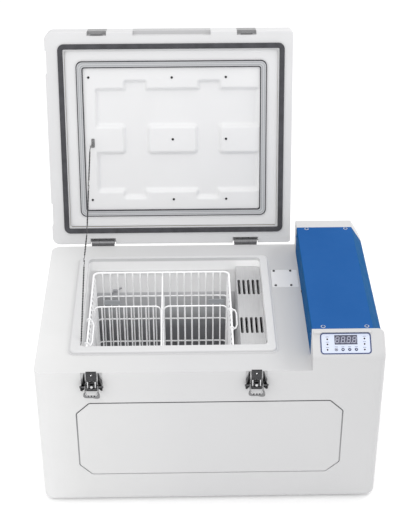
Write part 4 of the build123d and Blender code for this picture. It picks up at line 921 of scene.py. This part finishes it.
for k in range(4):
    x = 670.3 + (k - 1.5) * 12.2
    v = -25.25
    hw, hh = DW / 2, DH / 4
    for dv in (-DH / 2, 0, DH / 2):
        seg(digits, x, v + dv * 0.94, True, DW - 0.6)
    for sx in (-1, 1):
        for dv in (-hh, hh):
            seg(digits, x + sx * hw * 0.92, v + dv * 0.94, False, DH / 2 - 1.0)
    c = [(x + 5.6 + 0.9 * math.cos(a), v - DH / 2 + 0.7 + 0.9 * math.sin(a)) for a in [2 * math.pi * i / 12 for i in range(12)]]
    digits.prism(c, SLP, 0.05, 0.24)
digits.make("display_digits", MAT["segment"], "cabinet", slot="display")

BTN = {"mute": 648.8, "set": 663.1, "down": 677.4, "up": 691.7}
BTN_V = -47.0
LEDS = [(630.3, -23.7), (630.3, -35.3), (630.0, -47.4), (710.2, -22.9), (710.0, -35.2), (709.6, -47.6)]
labels = Geo()
random.seed(7)
# short generic tick rows above each lamp and button; they spell nothing
for (x, v) in [(a, b + 5.0) for a, b in LEDS] + [(b, BTN_V + 6.1) for b in BTN.values()]:
    n = 4
    for i in range(n):
        w = 1.15
        xx = x + (i - (n - 1) / 2) * 1.7
        labels.prism([(xx - w / 2, v - 0.55), (xx + w / 2, v - 0.55), (xx + w / 2, v + 0.55), (xx - w / 2, v + 0.55)], SLP, 0.36, 0.50)
labels.make("fascia_ticks", MAT["inkgrey"], "cabinet", slot="button_blue")
halo = Geo()
for x, v in LEDS:
    o = [(x + 2.7 * math.cos(a), v + 2.7 * math.sin(a)) for a in [2 * math.pi * i / 24 for i in range(24)]]
    i_ = [(x + 2.05 * math.cos(a), v + 2.05 * math.sin(a)) for a in [2 * math.pi * i / 24 for i in range(24)]]
    ring_prism(halo, o, i_, SLP, 0.36, 0.5)
dots = Geo()
for x, v in LEDS:
    c = lambda r: [(x + r * math.cos(2 * math.pi * i / 24), v + r * math.sin(2 * math.pi * i / 24)) for i in range(24)]
    dots.loft([[SLP(a, b, h) for a, b in c(r)] for r, h in ((2.0, 0.2), (2.0, 0.62), (1.7, 0.84), (0.8, 0.95))])
MAT["paper"] = white_plastic("print_white", srgb(244, 244, 252), 0.35, 1800, 0.04, 0.01)
halo.make("lamp_halos", MAT["paper"], "cabinet", slot="fascia_film")
dots.make("lamp_dots", MAT["led"], "cabinet", slot="led_lens")
# symbols on the buttons
for name, x in BTN.items():
    g = Geo()
    c = lambda r, n=20: [(x + r * math.cos(2 * math.pi * i / n), BTN_V + r * math.sin(2 * math.pi * i / n)) for i in range(n)]
    if name == "mute":
        ring_prism(g, c(2.5), c(1.9), SLP, 1.25, 1.42)
        g.prism([(x - 0.3, BTN_V + 0.2), (x + 0.3, BTN_V + 0.2), (x + 0.3, BTN_V + 1.5), (x - 0.3, BTN_V + 1.5)], SLP, 1.25, 1.42)
    elif name == "set":
        g.prism([(x - 1.5, BTN_V + 0.2), (x + 1.5, BTN_V + 0.2), (x + 1.5, BTN_V + 0.9), (x - 1.5, BTN_V + 0.9)], SLP, 1.25, 1.42)
        g.prism([(x - 1.5, BTN_V - 1.0), (x + 1.5, BTN_V - 1.0), (x + 1.5, BTN_V - 0.3), (x - 1.5, BTN_V - 0.3)], SLP, 1.25, 1.42)
    elif name == "down":
        g.prism([(x - 1.5, BTN_V + 0.8), (x, BTN_V - 1.3), (x + 1.5, BTN_V + 0.8)], SLP, 1.25, 1.42)
    else:
        g.prism([(x - 1.5, BTN_V - 0.8), (x + 1.5, BTN_V - 0.8), (x, BTN_V + 1.3)], SLP, 1.25, 1.42)
    g.make("symbol_" + name, MAT["paper"], "btn_" + name, slot="button_blue")


# ---------------------------------------------------------------------------
# Latches: bright rods, hex nut and a bright inset on each claw as a painted highlight, rolled rim on each lever
# ---------------------------------------------------------------------------
LATCH_X = {"left": 124.0, "right": 478.5}


def finger(lx, a, b, h):
    """A point on a lever's finger plate: a across, b up it, h off it."""
    return P(lx + a, -17.2 + 0.394 * b - 0.919 * h, 336.0 + 0.919 * b + 0.394 * h)


for side, lx in LATCH_X.items():
    g = Geo()
    for dx in (-8.5, 8.5):
        g.tube([P(lx + dx, -6.5, z) for z in (340.2, 341.0, 345, 349, 353, 357.0, 357.6)], mm(1.95), 14, rr=[mm(1.5)] + [mm(1.95)] * 5 + [mm(1.5)])
    g.make("claw_rods_" + side, MAT["bright"], "claw_" + side, slot="latch_steel")
    g = Geo()
    hexa = [(lx + 3.6 * math.cos(math.pi / 3 * i + 0.5), 345.0 + 3.6 * math.sin(math.pi / 3 * i + 0.5)) for i in range(6)]
    g.prism(hexa, lambda u, v, h: P(u, -h, v), 9.3, 11.2, 0.5)
    g.make("claw_nut_" + side, MAT["nut"], "claw_" + side, slot="latch_steel")
    g = Geo()
    # painted highlight: a bright triangle on the claw head
    g.prism([(lx - 2.1, 375.3), (lx + 2.1, 375.3), (lx, 371.0)], lambda u, v, h: P(u, -h, v), 5.2, 6.9, 0.25)
    g.make("claw_highlight_inset_" + side, MAT["bright"], "claw_" + side, slot="latch_steel")
    g = Geo()
    g.tube(rounded([finger(lx, -12.2, -0.8, 1.5), finger(lx, -12.2, -4.4, 1.5), finger(lx, -8.0, -6.9, 1.5), finger(lx, 8.0, -6.9, 1.5),
                    finger(lx, 12.2, -4.4, 1.5), finger(lx, 12.2, -0.8, 1.5)], 0.0025, n=6), mm(0.7), 10)
    g.make("lever_rim_" + side, MAT["bright"], "lever_" + side, slot="latch_steel")
    g = Geo()
    g.prism([(-8.6, -6.0), (8.6, -6.0), (9.4, -7.2), (8.4, -9.0), (-8.4, -9.0), (-9.4, -7.2)], lambda u, v, h: finger(lx, u, v, h), 1.3, 1.75, 0.2)
    g.make("lever_web_" + side, MAT["steel"], "lever_" + side, slot="latch_steel")
    g = Geo()
    for a in (-6.4, 0.0, 6.4):
        g.lathe([(mm(r), mm(h)) for r, h in ((0.0, 0.0), (1.5, 0.0), (1.5, 0.5), (1.1, 0.9), (0.0, 0.95))], finger(lx, a, -7.5, 1.5), (0, -0.919, 0.394), 16)
    g.make("lever_rivets_" + side, MAT["dark_screw"], "lever_" + side, slot="latch_steel")

# ---------------------------------------------------------------------------
# Duct cover: pressed lips round its slots, painted dark as painted shade, and bright slats behind them as painted
# highlights
# ---------------------------------------------------------------------------
shaded_lip, highlight_slats = Geo(), Geo()
for y0 in (163.5, 316.5):
    for i in range(5):
        x = 455.3 + 11.2 * i
        o = rrect(x - 2.9, x + 2.9, y0 - 0.9, y0 + 57.9, 2.8, 8)
        n_ = rrect(x - 2.0, x + 2.0, y0 + 0.2, y0 + 56.8, 1.95, 8)
        ring_prism(shaded_lip, o, n_, lambda u, v, h: P(u, v, h), 357.4, 358.0)
        # the slat behind each slot, pushed down on its left side, in bright steel as a painted highlight
        highlight_slats.loft([[P(x + 2.1, y, 357.7), P(x + 1.5, y, 357.8), P(x + 0.4, y, 352.6), P(x + 0.9, y, 352.4)] for y in (y0 + 2.2, y0 + 20, y0 + 38, y0 + 54.8)])
shaded_lip.make("duct_slot_shaded_lips", MAT["dark_screw"], "cabinet", slot="duct_steel")
highlight_slats.make("duct_slot_highlight_slats", MAT["bright"], "cabinet", slot="duct_steel")

# ---------------------------------------------------------------------------
# Cover screws: plastic washers
# ---------------------------------------------------------------------------
w = Geo()
for x, y in [(622.0, 463.0), (716.0, 463.0), (623.5, 63.0), (718.0, 63.0)]:
    o = [(x + 4.8 * math.cos(a), y + 4.8 * math.sin(a)) for a in [2 * math.pi * i / 28 for i in range(28)]]
    n_ = [(x + 3.9 * math.cos(a), y + 3.9 * math.sin(a)) for a in [2 * math.pi * i / 28 for i in range(28)]]
    ring_prism(w, o, n_, lambda u, v, h: P(u, v, h), 445.02, 445.5)
w.make("cover_washers", MAT["plate"], "cabinet", slot="collar_white")

# ---------------------------------------------------------------------------
# Lid-stay chain: polished beads over each link's bead line
# ---------------------------------------------------------------------------
CHAIN_A, CHAIN_B = P(97.0, 91.5, 376.0), LID(101.0, 245.3, 5.0)
CH_L = (219.245, 82.217, 124.441, 112.96)
run = Vector((0, CHAIN_B.y - CHAIN_A.y, CHAIN_B.z - CHAIN_A.z))
length, run = run.length, run.normalized()
at = 0.0
for i, share in enumerate(CH_L):
    seg_len = length * share / sum(CH_L)
    a = CHAIN_A + run * at
    b = a + run * seg_len
    a.x = (97.0 if i < 2 else 101.0) / 1000 - XC / 1000
    b.x = (97.0 if i < 1 else 101.0) / 1000 - XC / 1000
    b0, b1 = a + run * 0.007, b - run * 0.007
    span = (b1 - b0).length
    n = round(span / 0.00415)
    d = (b1 - b0).normalized()
    g = Geo()
    for k in range(n):
        c0 = span / n * (k + 0.5)
        r = min(0.0019, 0.107 * (0.007 + min(c0, span - c0)))
        g.lathe([(r * math.sin(math.radians(q)), -r * math.cos(math.radians(q))) for q in range(0, 181, 20)], b0 + d * c0, d, 12)
    g.make("chain_beads_%d" % (i + 1), MAT["bead"], "chain_%d" % (i + 1), slot="chain_steel")
    at += seg_len

VIS_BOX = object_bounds()


def plain(v):
    try:
        return [plain(a) for a in v]
    except TypeError:
        return float(v)


{"cad": plain(CAD_BOX), "visual": plain(VIS_BOX)}
